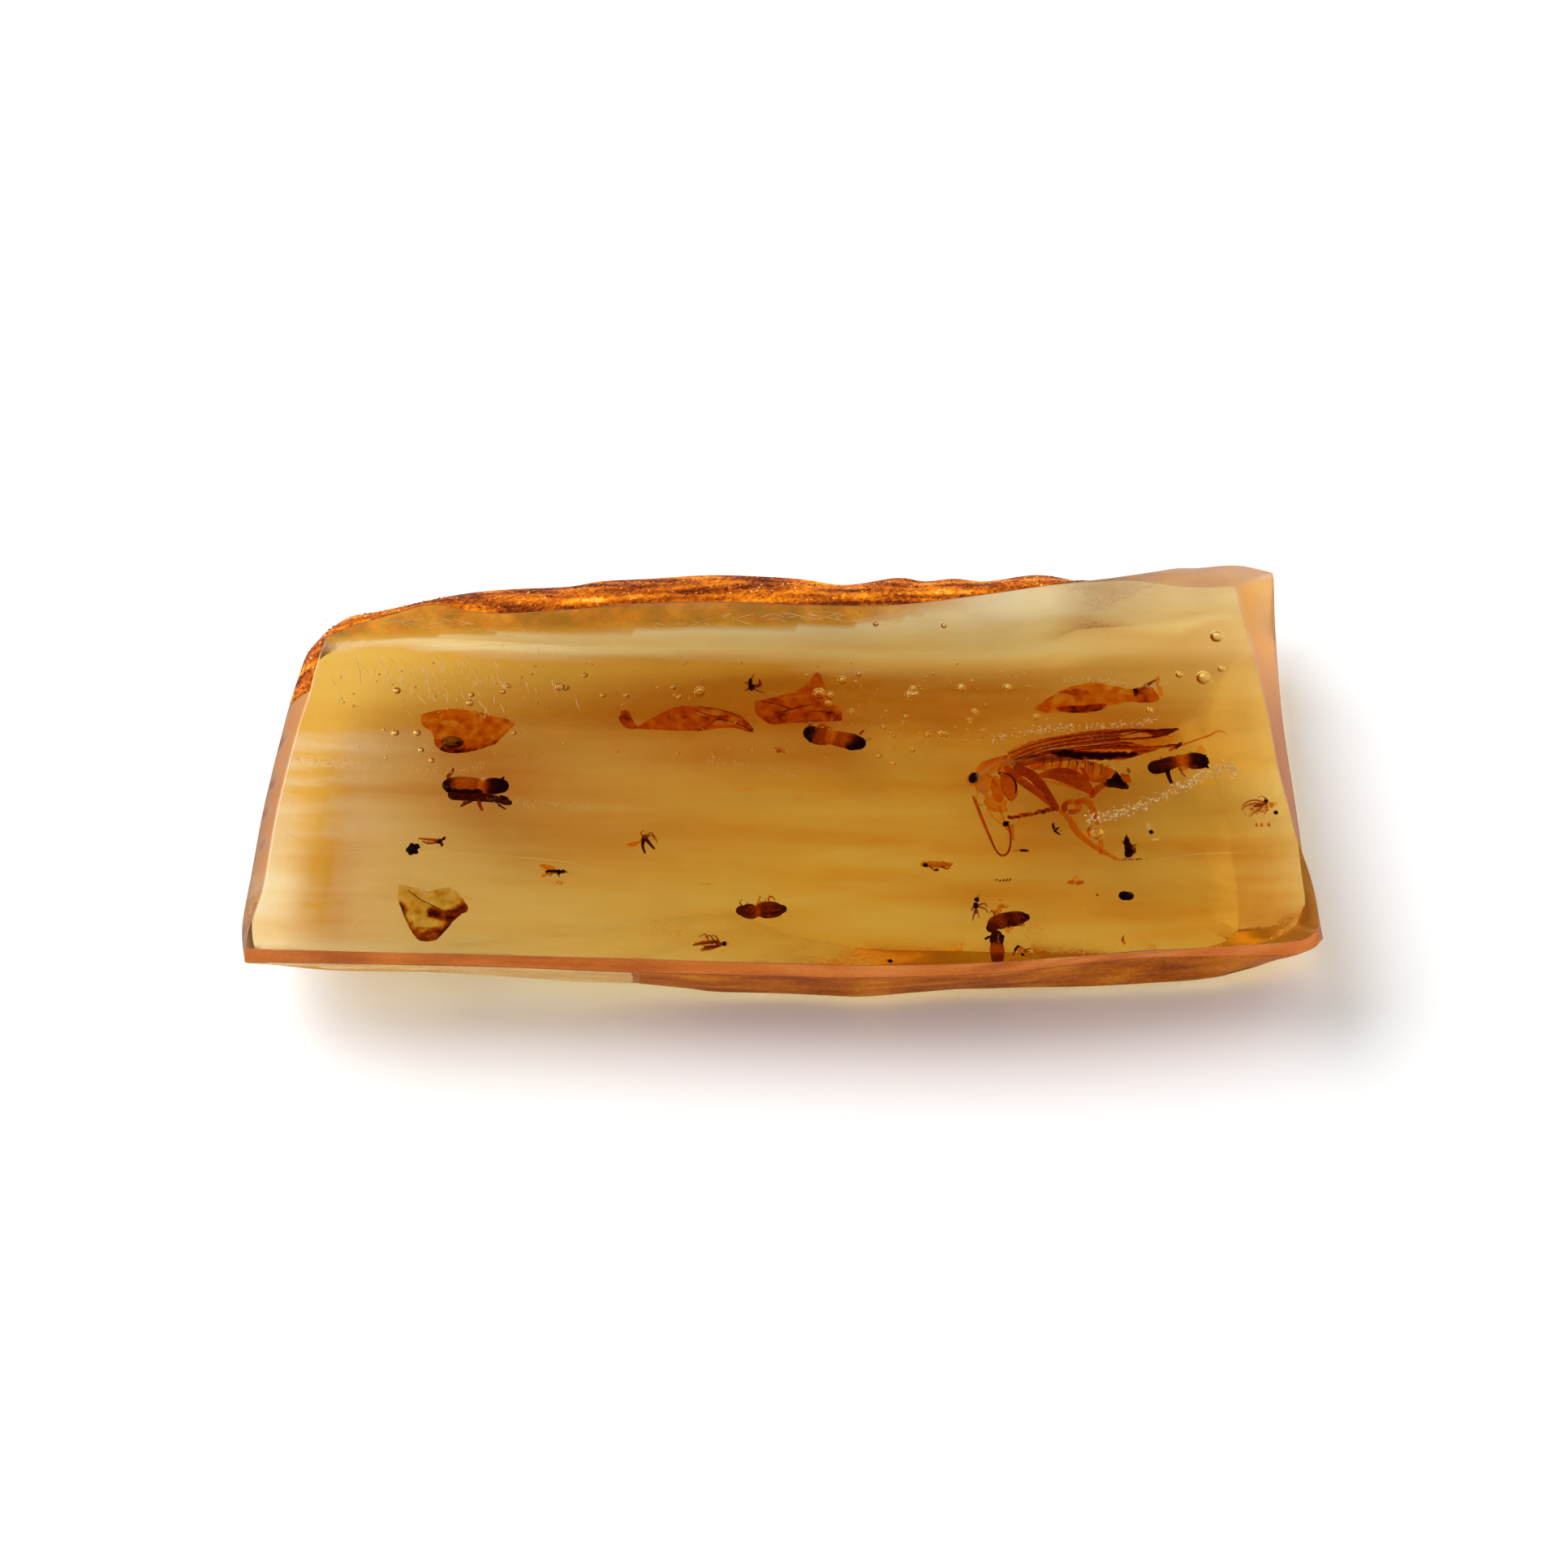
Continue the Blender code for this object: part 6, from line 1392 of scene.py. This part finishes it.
leafScale = {
    "place": (-26.9, 3.8, 6.2), "turn": (-4, 0, 0),
    "outline": [(-4.3, 1.8), (-3.4, 2.15), (-2.5, 2.3), (-1.5, 2.4), (-0.4, 2.3), (0.8, 2.05), (1.9, 1.6),
                (2.85, 1.35), (3.75, 0.75), (3.35, 0.15), (2.75, -0.6), (2.3, -1.3), (1.5, -1.7), (0.7, -2.05),
                (-0.4, -2.3), (-1.5, -2.4), (-2.3, -2.15), (-2.95, -1.5), (-3.2, -0.35), (-3.7, 0.25), (-4.2, 0.75)],
    "hole": ((-1.8, 0.85), (0.75, 0.34)),
    "lowerEdge": [(2.3, -1.3), (1.5, -1.7), (0.7, -2.05), (-0.4, -2.3), (-1.5, -2.4), (-2.3, -2.15)],
}


def scaleTone(x, y):
    centre, reach = leafScale["hole"]
    if math.hypot((x - centre[0]) / reach[0], (y - centre[1]) / reach[1]) < 1:
        return 0.98
    tone = 0.7 + 0.05 * math.sin(5 * x - 3 * y)
    tone = min(tone, 0.32 + 0.9 * max(0.0, nearLine(x, y, leafScale["lowerEdge"]) - 0.1))
    if y < -0.9 and x < 0.7:
        tone -= 0.2
    return tone


leafLong = {
    "place": (-8.4, 5.6, 6.3), "turn": (-4, 3, 0),
    "outline": [(-4.35, -1.6), (-3.7, -1.1), (-2.85, -0.5), (-1.95, 0.1), (-1.1, 0.65), (0.0, 0.9), (1.15, 0.75),
                (2.75, 0.5), (4.05, 0.05), (4.9, -0.4), (5.6, -1.25), (5.8, -1.85), (5.2, -1.8), (4.15, -1.45),
                (3.1, -1.5), (2.05, -1.7), (0.35, -1.85), (-1.75, -1.85), (-3.5, -1.8)],
    "curl": [(-5.75, -0.15), (-5.35, 0.2), (-4.85, -0.05), (-4.65, -0.75), (-4.2, -1.7), (-4.8, -1.8),
             (-5.3, -1.6), (-5.75, -0.9)],
    "windows": [((1.9, 0.12), (1.3, 0.3)), ((3.1, -0.95), (1.0, 0.26)), ((4.2, -0.5), (0.6, 0.2))],
    "ribs": [[(1.0, -1.95), (1.9, -1.2), (2.7, -0.5), (3.6, -0.2)], [(1.1, 0.78), (2.7, 0.52), (4.0, 0.08), (4.9, -0.4)],
             [(2.6, -0.6), (3.7, -0.75), (4.9, -1.3), (5.6, -1.7)], [(0.9, 0.3), (1.8, -0.1), (3.0, -0.35)]],
    "sliver": [(1.0, -1.95), (1.4, -1.55), (2.0, -1.1), (2.6, -0.8), (2.1, -1.35), (1.5, -1.8)],
}


def longTone(x, y):
    for centre, reach in leafLong["windows"]:
        if math.hypot((x - centre[0]) / reach[0], (y - centre[1]) / reach[1]) < 1:
            return 0.94
    tone = 0.62 + 0.06 * math.sin(4 * x + 5 * y)
    if x > 4.9:
        tone = 0.4
    return min(tone, 0.42 + 0.8 * abs(y + 1.85))


leafCut = {
    "place": (1.3, 7.2, 6.17), "turn": (-4, -2, 0),
    "outline": [(-3.8, -0.05), (-3.25, -0.05), (-2.3, 0.2), (-1.3, 0.5), (-0.4, 0.75), (0.4, 1.35), (0.95, 2.05),
                (1.5, 2.9), (1.95, 2.5), (2.2, 1.35), (2.5, 0.15), (2.95, -0.65), (3.5, -1.0), (3.65, -2.35),
                (2.45, -2.45), (0.7, -2.55), (-1.0, -2.6), (-2.4, -2.7), (-3.1, -2.2), (-3.75, -1.45)],
    "cutEdge": [(3.65, -2.4), (0.7, -2.55), (-2.4, -2.7)],
    "ribs": [[(-1.4, -1.4), (0.0, -0.9), (1.2, -0.6)], [(-3.3, -0.2), (-1.8, -0.6), (-0.5, -1.2)],
             [(0.9, -1.35), (1.9, -1.4), (3.0, -1.6)]],
}


def cutTone(x, y):
    tone = 0.68 + 0.07 * math.sin(3 * x + 2 * y)
    if x < -1.4:
        tone -= 0.12
    if y < -1.3 and x > -2.2:
        tone -= 0.12
    return min(tone, 0.3 + 1.2 * nearLine(x, y, leafCut["cutEdge"]))


leafTorn = {
    "place": (27.6, 7.7, 6.12), "turn": (-4, 2, 0),
    "outline": [(-6.2, -1.75), (-5.3, -0.85), (-4.3, -0.1), (-3.5, 0.5), (-2.4, 0.95), (-1.2, 1.3), (0.05, 1.2),
                (1.3, 0.85), (2.35, 0.6), (3.2, 0.85), (4.1, 0.95), (4.55, 0.25), (4.8, -0.45), (4.05, -0.8),
                (2.9, -0.85), (2.05, -0.7), (1.0, -1.05), (-0.2, -1.3), (-1.45, -1.5), (-3.0, -1.75), (-4.3, -2.0),
                (-5.3, -2.0)],
    "window": ((-3.5, -0.55), (0.95, 0.6)),
    "greyPatch": ((-2.3, 0.2), (1.1, 0.4)),
    "spot": ((2.75, 0.25), (0.2, 0.45)),
    "strip": [(-4.25, -1.55), (-2.15, -1.3), (0.1, -1.1), (-0.4, -1.75), (-1.85, -2.1), (-3.6, -2.0)],
}


def tornTone(x, y):
    spec = leafTorn
    for key, tone in (("spot", 0.05), ("window", 0.96), ("greyPatch", 0.4)):
        centre, reach = spec[key]
        if math.hypot((x - centre[0]) / reach[0], (y - centre[1]) / reach[1]) < 1:
            return tone
    if x > 2.9:
        return 0.5
    return 0.76 + 0.05 * math.sin(4 * x)


def buildLeaves():
    green = leafMaterial("dried leaf, olive", [(0.0, "4A1A08"), (0.2, "9A3E08"), (0.38, "C47A20"), (0.55, "DCBC58"),
                                               (0.8, "F2E098"), (1.0, "FFFAF4")], 0.93)
    brown = leafMaterial("dried leaf, amber-brown", [(0.0, "2A1004"), (0.22, "8E3804"), (0.42, "D0700A"), (0.6, "EC9018"),
                                                     (0.8, "F8B438"), (1.0, "FFDC84")], 0.93)
    for name, spec, tone, material, slot in (
            ("leaf_green", leafGreen, greenTone, green, "green_leaf"),
            ("leaf_scale", leafScale, scaleTone, brown, "brown_leaf"),
            ("leaf_long", leafLong, longTone, brown, "brown_leaf"),
            ("leaf_cut", leafCut, cutTone, brown, "brown_leaf"),
            ("leaf_torn", leafTorn, tornTone, brown, "brown_leaf")):
        bm = newBmesh()
        wave = lambda x, y: 0.10 * noise.noise(Vector((x * 0.9, y * 0.9, 2.0)))
        addSheet(bm, spec["outline"], 0.06, 0.13, wave, tone, seed=5)
        for line in spec.get("ribs", ()):
            addTube(bm, [(*p, 0.08) for p in line], [0.045] * len(line), 0.12, sides=6)
        for key, shade in (("curl", 0.52), ("sliver", 0.62), ("strip", 0.32)):
            if key in spec:
                addSheet(bm, spec[key], 0.06, 0.18, lambda x, y: 0.14, lambda x, y: shade, seed=6)
        if name == "leaf_green":
            addTube(bm, [(*p, 0.05) for p in spec["topEdge"]], [0.05, 0.09, 0.1, 0.1, 0.1, 0.09, 0.05], 1.0, sides=8)
            addTube(bm, [(*p, 0.06) for p in spec["fold"]], [0.03, 0.045, 0.045, 0.04, 0.03], 0.12, sides=6)
        finishPiece(name + "_sealed", bm, material, spec["place"], spec["turn"], replaces=(name,))


# Debris and flow veils

debris = {
    "paleBit": ((31.0, -7.1, 7.3), [((-0.3, 0.5, 0), (0.22, 0.45, 0.2), 12, 0.98), ((-0.15, 0.0, 0), (0.2, 0.2, 0.15), 0, 0.08),
                                    ((0.2, -0.75, 0), (0.3, 0.14, 0.1), 0, 0.96)]),
    "forked": ((22.8, -6.8, 7.3), [((-0.15, 0.3, 0), (0.1, 0.35, 0.1), 0, 0.02), ((0.1, 0.0, 0), (0.34, 0.09, 0.1), 40, 0.02),
                                   ((0.15, -0.35, 0), (0.36, 0.09, 0.1), -42, 0.02), ((0.45, -0.1, 0), (0.14, 0.12, 0.1), 0, 0.6)]),
    "dashes": ((18.3, -12.1, 7.7), [((-0.6, 0.05, 0), (0.12, 0.06, 0.06), 0, 0.04), ((-0.3, -0.05, 0), (0.1, 0.08, 0.06), 30, 0.04),
                                    ((0.0, 0.0, 0), (0.1, 0.09, 0.06), 0, 0.04), ((0.25, 0.0, 0), (0.06, 0.16, 0.06), -20, 0.02),
                                    ((0.5, 0.05, 0), (0.06, 0.2, 0.06), -25, 0.02)]),
    "smudge": ((24.3, -12.1, 7.7), [((-0.4, -0.2, 0), (0.3, 0.2, 0.1), 0, 0.5), ((0.3, -0.25, 0), (0.4, 0.18, 0.1), 10, 0.46),
                                    ((0.0, 0.15, 0), (0.3, 0.25, 0.1), 0, 0.7)]),
    "ballUnder": ((27.9, -18.1, 8.2), [((0, 0, 0), (0.1, 0.3, 0.1), -10, 0.3), ((0.1, -0.35, 0), (0.12, 0.14, 0.1), 0, 0.55)]),
    "midFlake": ((-0.4, 1.6, 6.6), [((0, 0, 0), (0.3, 0.2, 0.1), 10, 0.4), ((0.4, -0.1, 0), (0.2, 0.2, 0.1), 0, 0.6),
                                    ((-0.3, 0.3, 0), (0.2, 0.12, 0.1), 20, 0.62)]),
    "shred": ((29.9, 8.6, 6.5), [((2.4, 0.3, 0), (0.2, 0.6, 0.1), -8, 0.62), ((2.6, -0.7, 0), (0.24, 0.6, 0.1), 6, 0.66),
                                 ((1.7, 0.2, 0), (0.8, 0.1, 0.1), 30, 0.3), ((1.4, -0.2, 0), (0.7, 0.06, 0.1), 34, 0.25)]),
    "speck": ((8.7, -20.4, 8.7), [((0, 0, 0), (0.22, 0.2, 0.1), 0, 0.05), ((-0.25, 0.1, 0), (0.1, 0.06, 0.05), 0, 0.4)]),
    "seedBy": ((26.0, -13.6, 7.8), [((0, 0, 0), (0.12, 0.1, 0.1), 0, 0.3)]),
    "nearTip": ((35.4, 1.6, 6.6), [((0.2, 0.0, 0), (0.4, 0.55, 0.1), -20, 0.74)]),
    "crumb": ((29.3, -0.6, 6.9), [((0, 0, 0), (0.14, 0.28, 0.1), 8, 0.36)]),
}

stains = {
    # strewn brown dust: middle, spread, count, tone
    "gnatCloud": ((-9.4, -16.8, 7.9), (3.2, 1.2, 0.3), 260, 0.52),
    "weevilCloud": ((20.6, -17.4, 8.0), (1.4, 1.9, 0.3), 240, 0.5),
    "centreSmear": ((-3.3, -2.5, 6.9), (1.2, 0.35, 0.2), 90, 0.6),
    "lowerSmear": ((-3.1, -6.6, 7.2), (2.2, 0.5, 0.2), 140, 0.6),
    "dotRow": ((1.3, -3.6, 7.0), (0.6, 0.5, 0.2), 40, 0.58),
    "bandSmear": ((-6.3, -12.4, 7.6), (1.2, 0.2, 0.2), 60, 0.6),
}

veils = {
    # pale dust caught between two flows: pixels of the photograph, height, width in pixels, grains
    "lower": ([(1338, 1009), (1355, 1006), (1380, 1001), (1400, 994), (1430, 982), (1455, 970), (1487, 953), (1510, 946),
               (1524, 948)], 7.6, 11, 330, (0.05, 0.15)),
    "upper": ([(1222, 910), (1260, 903), (1290, 898), (1330, 895), (1360, 895), (1384, 893), (1410, 889), (1428, 886)],
              7.6, 8, 240, (0.04, 0.09)),
    "torn": ([(1310, 838), (1345, 836), (1380, 841), (1410, 845), (1440, 842)], 6.8, 5, 200, (0.03, 0.07)),
    "left": ([(345, 935), (420, 941), (500, 948), (560, 952), (600, 940)], 7.0, 8, 260, (0.03, 0.07)),
    "midLeft": ([(600, 986), (650, 990), (700, 991), (730, 996)], 7.0, 6, 160, (0.03, 0.07)),
    "centre": ([(870, 938), (905, 941), (945, 947), (980, 955)], 7.0, 5, 90, (0.03, 0.06)),
}


def buildDebris():
    dust = chitinMaterial("leaf and insect dust, brown", chitinStops, 0.6, 0.5, mottle=0.3, grain=0.25)
    bm = newBmesh()
    for i, (place, lumps) in enumerate(debris.values()):
        for k, (centre, radii, heading, tone) in enumerate(lumps):
            spot = [a + b for a, b in zip(place, centre)]
            addBall(bm, spot, radii, (0, 0, heading), tone, detail=2, lump=0.55, seed=7.3 * i + k)
    for i, (place, spread, count, tone) in enumerate(stains.values()):
        addSpecks(bm, place, spread, count, (0.015, 0.045), tone, 80 + i)
    finishPiece("debris", bm, dust)


crazing = {
    # golden cracks under the rear left of the face, as pixels of the photograph
    "arcs": [[(435, 805), (443, 825), (445, 850)], [(462, 805), (476, 826), (485, 850)],
             [(480, 810), (493, 826), (500, 845)], [(515, 810), (525, 832), (530, 860)],
             [(535, 805), (542, 817), (545, 830)], [(575, 810), (580, 820), (582, 830)]],
    "fieldMiddle": (555, 835),
    "fieldReach": (150, 42),
    "count": 90,
    "rearRow": ((400, 1120), (742, 762)),
    "rearCount": 110,
    "height": 9.6,
    # scratches on the face, and pale lines that are painted highlights along the face's rear edge and the bright band
    # below it
    "scratchesAndGlintLines": [[(432, 1142), (446, 1128), (452, 1120)], [(1334, 1150), (1337, 1165), (1334, 1180)],
                  [(512, 800), (700, 792), (900, 797)], [(820, 776), (930, 772), (1040, 774)],
                  [(547, 757), (760, 748), (1020, 744)], [(345, 1020), (390, 1042), (470, 1046)],
                  [(560, 1050), (700, 1062), (740, 1080)], [(1420, 1060), (1480, 1052), (1560, 1050)]],
}


def buildCrazing():
    # air-filled cracks and scratches, painted pale: a painted glint for the light they catch; some lines are painted
    # highlights along the face's rear edge and the bright band
    material, tree, shader = newMaterial("air-filled cracks in the resin, painted pale")
    shader.inputs["Base Color"].default_value = linear("FFE9B4")
    shader.inputs["Roughness"].default_value = 0.3
    bm = newBmesh()
    draw = random.Random(17)
    spec = crazing

    def crack(line, radius):
        points = [seenInside(u, v, spec["height"]) for u, v in line]
        addTube(bm, points, [0.4 * radius] + [radius] * (len(line) - 2) + [0.4 * radius], sides=4, steps=3)

    for line in spec["arcs"]:
        crack(line, 0.05)
    for line in spec["scratchesAndGlintLines"]:
        crack(line, 0.022)
    for i in range(spec["count"] + spec["rearCount"]):
        if i < spec["count"]:
            u = draw.gauss(spec["fieldMiddle"][0], 0.5 * spec["fieldReach"][0])
            v = draw.gauss(spec["fieldMiddle"][1], 0.5 * spec["fieldReach"][1])
            lean = draw.uniform(-0.2, 0.9)
            size = draw.uniform(3, 16)
        else:
            u = draw.uniform(*spec["rearRow"][0])
            v = draw.uniform(spec["rearRow"][1][1], spec["rearRow"][1][1] + 14) + 12 * math.sin(u / 90)
            lean = draw.uniform(2, 6) * draw.choice((-1, 1))
            size = draw.uniform(2, 6)
        bend = draw.uniform(-2, 2)
        crack([(u, v), (u + lean * size / 2 + bend, v + size / 2), (u + lean * size, v + size)],
              draw.uniform(0.018, 0.04))
    finishPiece("crazing", bm, material)


def buildVeils():
    material, tree, shader = newMaterial("pale dust in the resin")
    shader.inputs["Base Color"].default_value = linear("FFF2E0")
    shader.inputs["IOR"].default_value = 1.2
    shader.inputs["Roughness"].default_value = 0.3
    bm = newBmesh()
    draw = random.Random(31)
    for line, height, width, count, sizes in veils.values():
        for _ in range(count):
            along = alongLine(line, draw.random())
            fade = draw.gauss(0, 0.35)
            spot = seenInside(along.x + draw.uniform(-2, 2), along.y + fade * width, height + draw.uniform(-0.25, 0.25))
            addSpecks(bm, spot, (0, 0, 0), 1, sizes, 1.0, draw.random())
    finishPiece("flow_veils", bm, material)


# Stage

stageLook = {
    "floorSize": 1400.0,
    "floorColour": "F4F4F4",
    "fillStrength": 1.12,
    "dimFront": 0.4,           # share of the fill on the camera's side, and low down behind
    "dimBack": 0.15,
    "darkAbove": 55.0,          # elevation at the back where the studio is dark, so that the
    "darkSpread": (12.0, 32.0), # polished face mirrors nothing, and how far that reaches
    "keyAzimuth": 149.0,        # where the key stands round the slab, from +X towards +Y
    "keyElevation": 45.0,
    "keyDistance": 1000.0,
    "keySize": 940.0,
    "keyPower": 11.0,
}


def buildStage():
    look = stageLook
    bm = bmesh.new()
    bmesh.ops.create_grid(bm, x_segments=8, y_segments=8, size=look["floorSize"] / 2 * mm)
    bmesh.ops.translate(bm, vec=(0, 0, -0.03 * mm), verts=bm.verts)
    mesh = bpy.data.meshes.new("floor")
    bm.to_mesh(mesh)
    bm.free()
    material, tree, shader = newMaterial("paper, matt white")
    shader.inputs["Base Color"].default_value = linear(look["floorColour"])
    shader.inputs["Roughness"].default_value = 1.0
    shader.inputs["Specular IOR Level"].default_value = 0.0
    mesh.materials.append(material)
    floor = bpy.data.objects.new("floor", mesh)
    bpy.context.scene.collection.objects.link(floor)

    world = bpy.data.worlds.new("studio")
    world.use_nodes = True
    sky = world.node_tree
    dark = math.radians(look["darkAbove"])
    facing = node(sky, "ShaderNodeTexCoord").outputs["Generated"]
    towardsDark = node(sky, "ShaderNodeVectorMath", {1: (0, math.cos(dark), math.sin(dark))}, {0: facing},
                       operation="DOT_PRODUCT")
    inner, outer = (math.cos(math.radians(a)) for a in look["darkSpread"])
    fill = node(sky, "ShaderNodeMapRange", {"From Min": inner, "From Max": outer, "To Min": 0.0,
                                            "To Max": look["fillStrength"]},
                {"Value": towardsDark.outputs["Value"]}, interpolation_type="SMOOTHSTEP")
    axes = node(sky, "ShaderNodeSeparateXYZ", {}, {"Vector": facing})
    front = node(sky, "ShaderNodeMapRange", {"From Min": -0.75, "From Max": 0.05, "To Min": look["dimFront"]},
                 {"Value": axes.outputs["Y"]}, interpolation_type="SMOOTHSTEP")
    high = node(sky, "ShaderNodeMapRange", {"From Min": 0.25, "From Max": 0.6, "To Min": look["dimBack"]},
                {"Value": axes.outputs["Z"]}, interpolation_type="SMOOTHSTEP")
    sideways = node(sky, "ShaderNodeMapRange", {"From Min": 0.35, "From Max": 0.8, "To Min": 1.0, "To Max": 0.0},
                    {"Value": axes.outputs["Y"]}, interpolation_type="SMOOTHSTEP")
    behind = node(sky, "ShaderNodeMath", {}, {0: high.outputs[0], 1: sideways.outputs[0]}, operation="MAXIMUM")
    dimmed = node(sky, "ShaderNodeMath", {}, {0: front.outputs[0], 1: behind.outputs[0]}, operation="MULTIPLY")
    strength = node(sky, "ShaderNodeMath", {}, {0: dimmed.outputs[0], 1: fill.outputs["Result"]}, operation="MULTIPLY")
    sky.links.new(strength.outputs[0], sky.nodes["Background"].inputs["Strength"])
    sky.nodes["Background"].inputs["Color"].default_value = (1, 1, 1, 1)
    bpy.context.scene.world = world

    azimuth = math.radians(look["keyAzimuth"])
    elevation = math.radians(look["keyElevation"])
    towards = Vector((math.cos(azimuth) * math.cos(elevation), math.sin(azimuth) * math.cos(elevation),
                      math.sin(elevation)))
    lamp = bpy.data.lights.new("key", "AREA")
    lamp.shape = "DISK"
    lamp.size = look["keySize"] * mm
    lamp.energy = look["keyPower"]
    key = bpy.data.objects.new("key", lamp)
    key.location = towards * look["keyDistance"] * mm
    key.rotation_euler = towards.to_track_quat("Z", "Y").to_euler()
    bpy.context.scene.collection.objects.link(key)

    camera = bpy.data.cameras.new("camera")
    camera.lens = view["lens"]
    camera.sensor_width = view["sensor"]
    camera.clip_start = 0.01
    eye, _ = viewRay(view["framePixels"] / 2, view["framePixels"] / 2)
    holder = bpy.data.objects.new("camera", camera)
    holder.location = eye * mm
    holder.rotation_euler = (math.radians(90 - view["elevation"]), 0, 0)
    bpy.context.scene.collection.objects.link(holder)
    bpy.context.scene.camera = holder
    bpy.context.scene.view_settings.view_transform = "Standard"


buildStage()
print("stage ready")

copal = copalMaterial()
slab = finishPiece("copal_slab", copalSlabMesh(bubbleVoids(copal)), copal,
                   replaces=("copal_upper", "copal_lower"), fix=False)
print("copal slab ready")

for name, spec in sideSkins.items():
    buildSideSkin(name, spec)
print("crust and edges ready")

buildCockroach()
print("cockroach ready")

buildCreatures()
print("beetles and small insects ready")

buildLeaves()
print("leaves ready")

buildDebris()
buildVeils()
buildCrazing()
print("debris and veils ready")
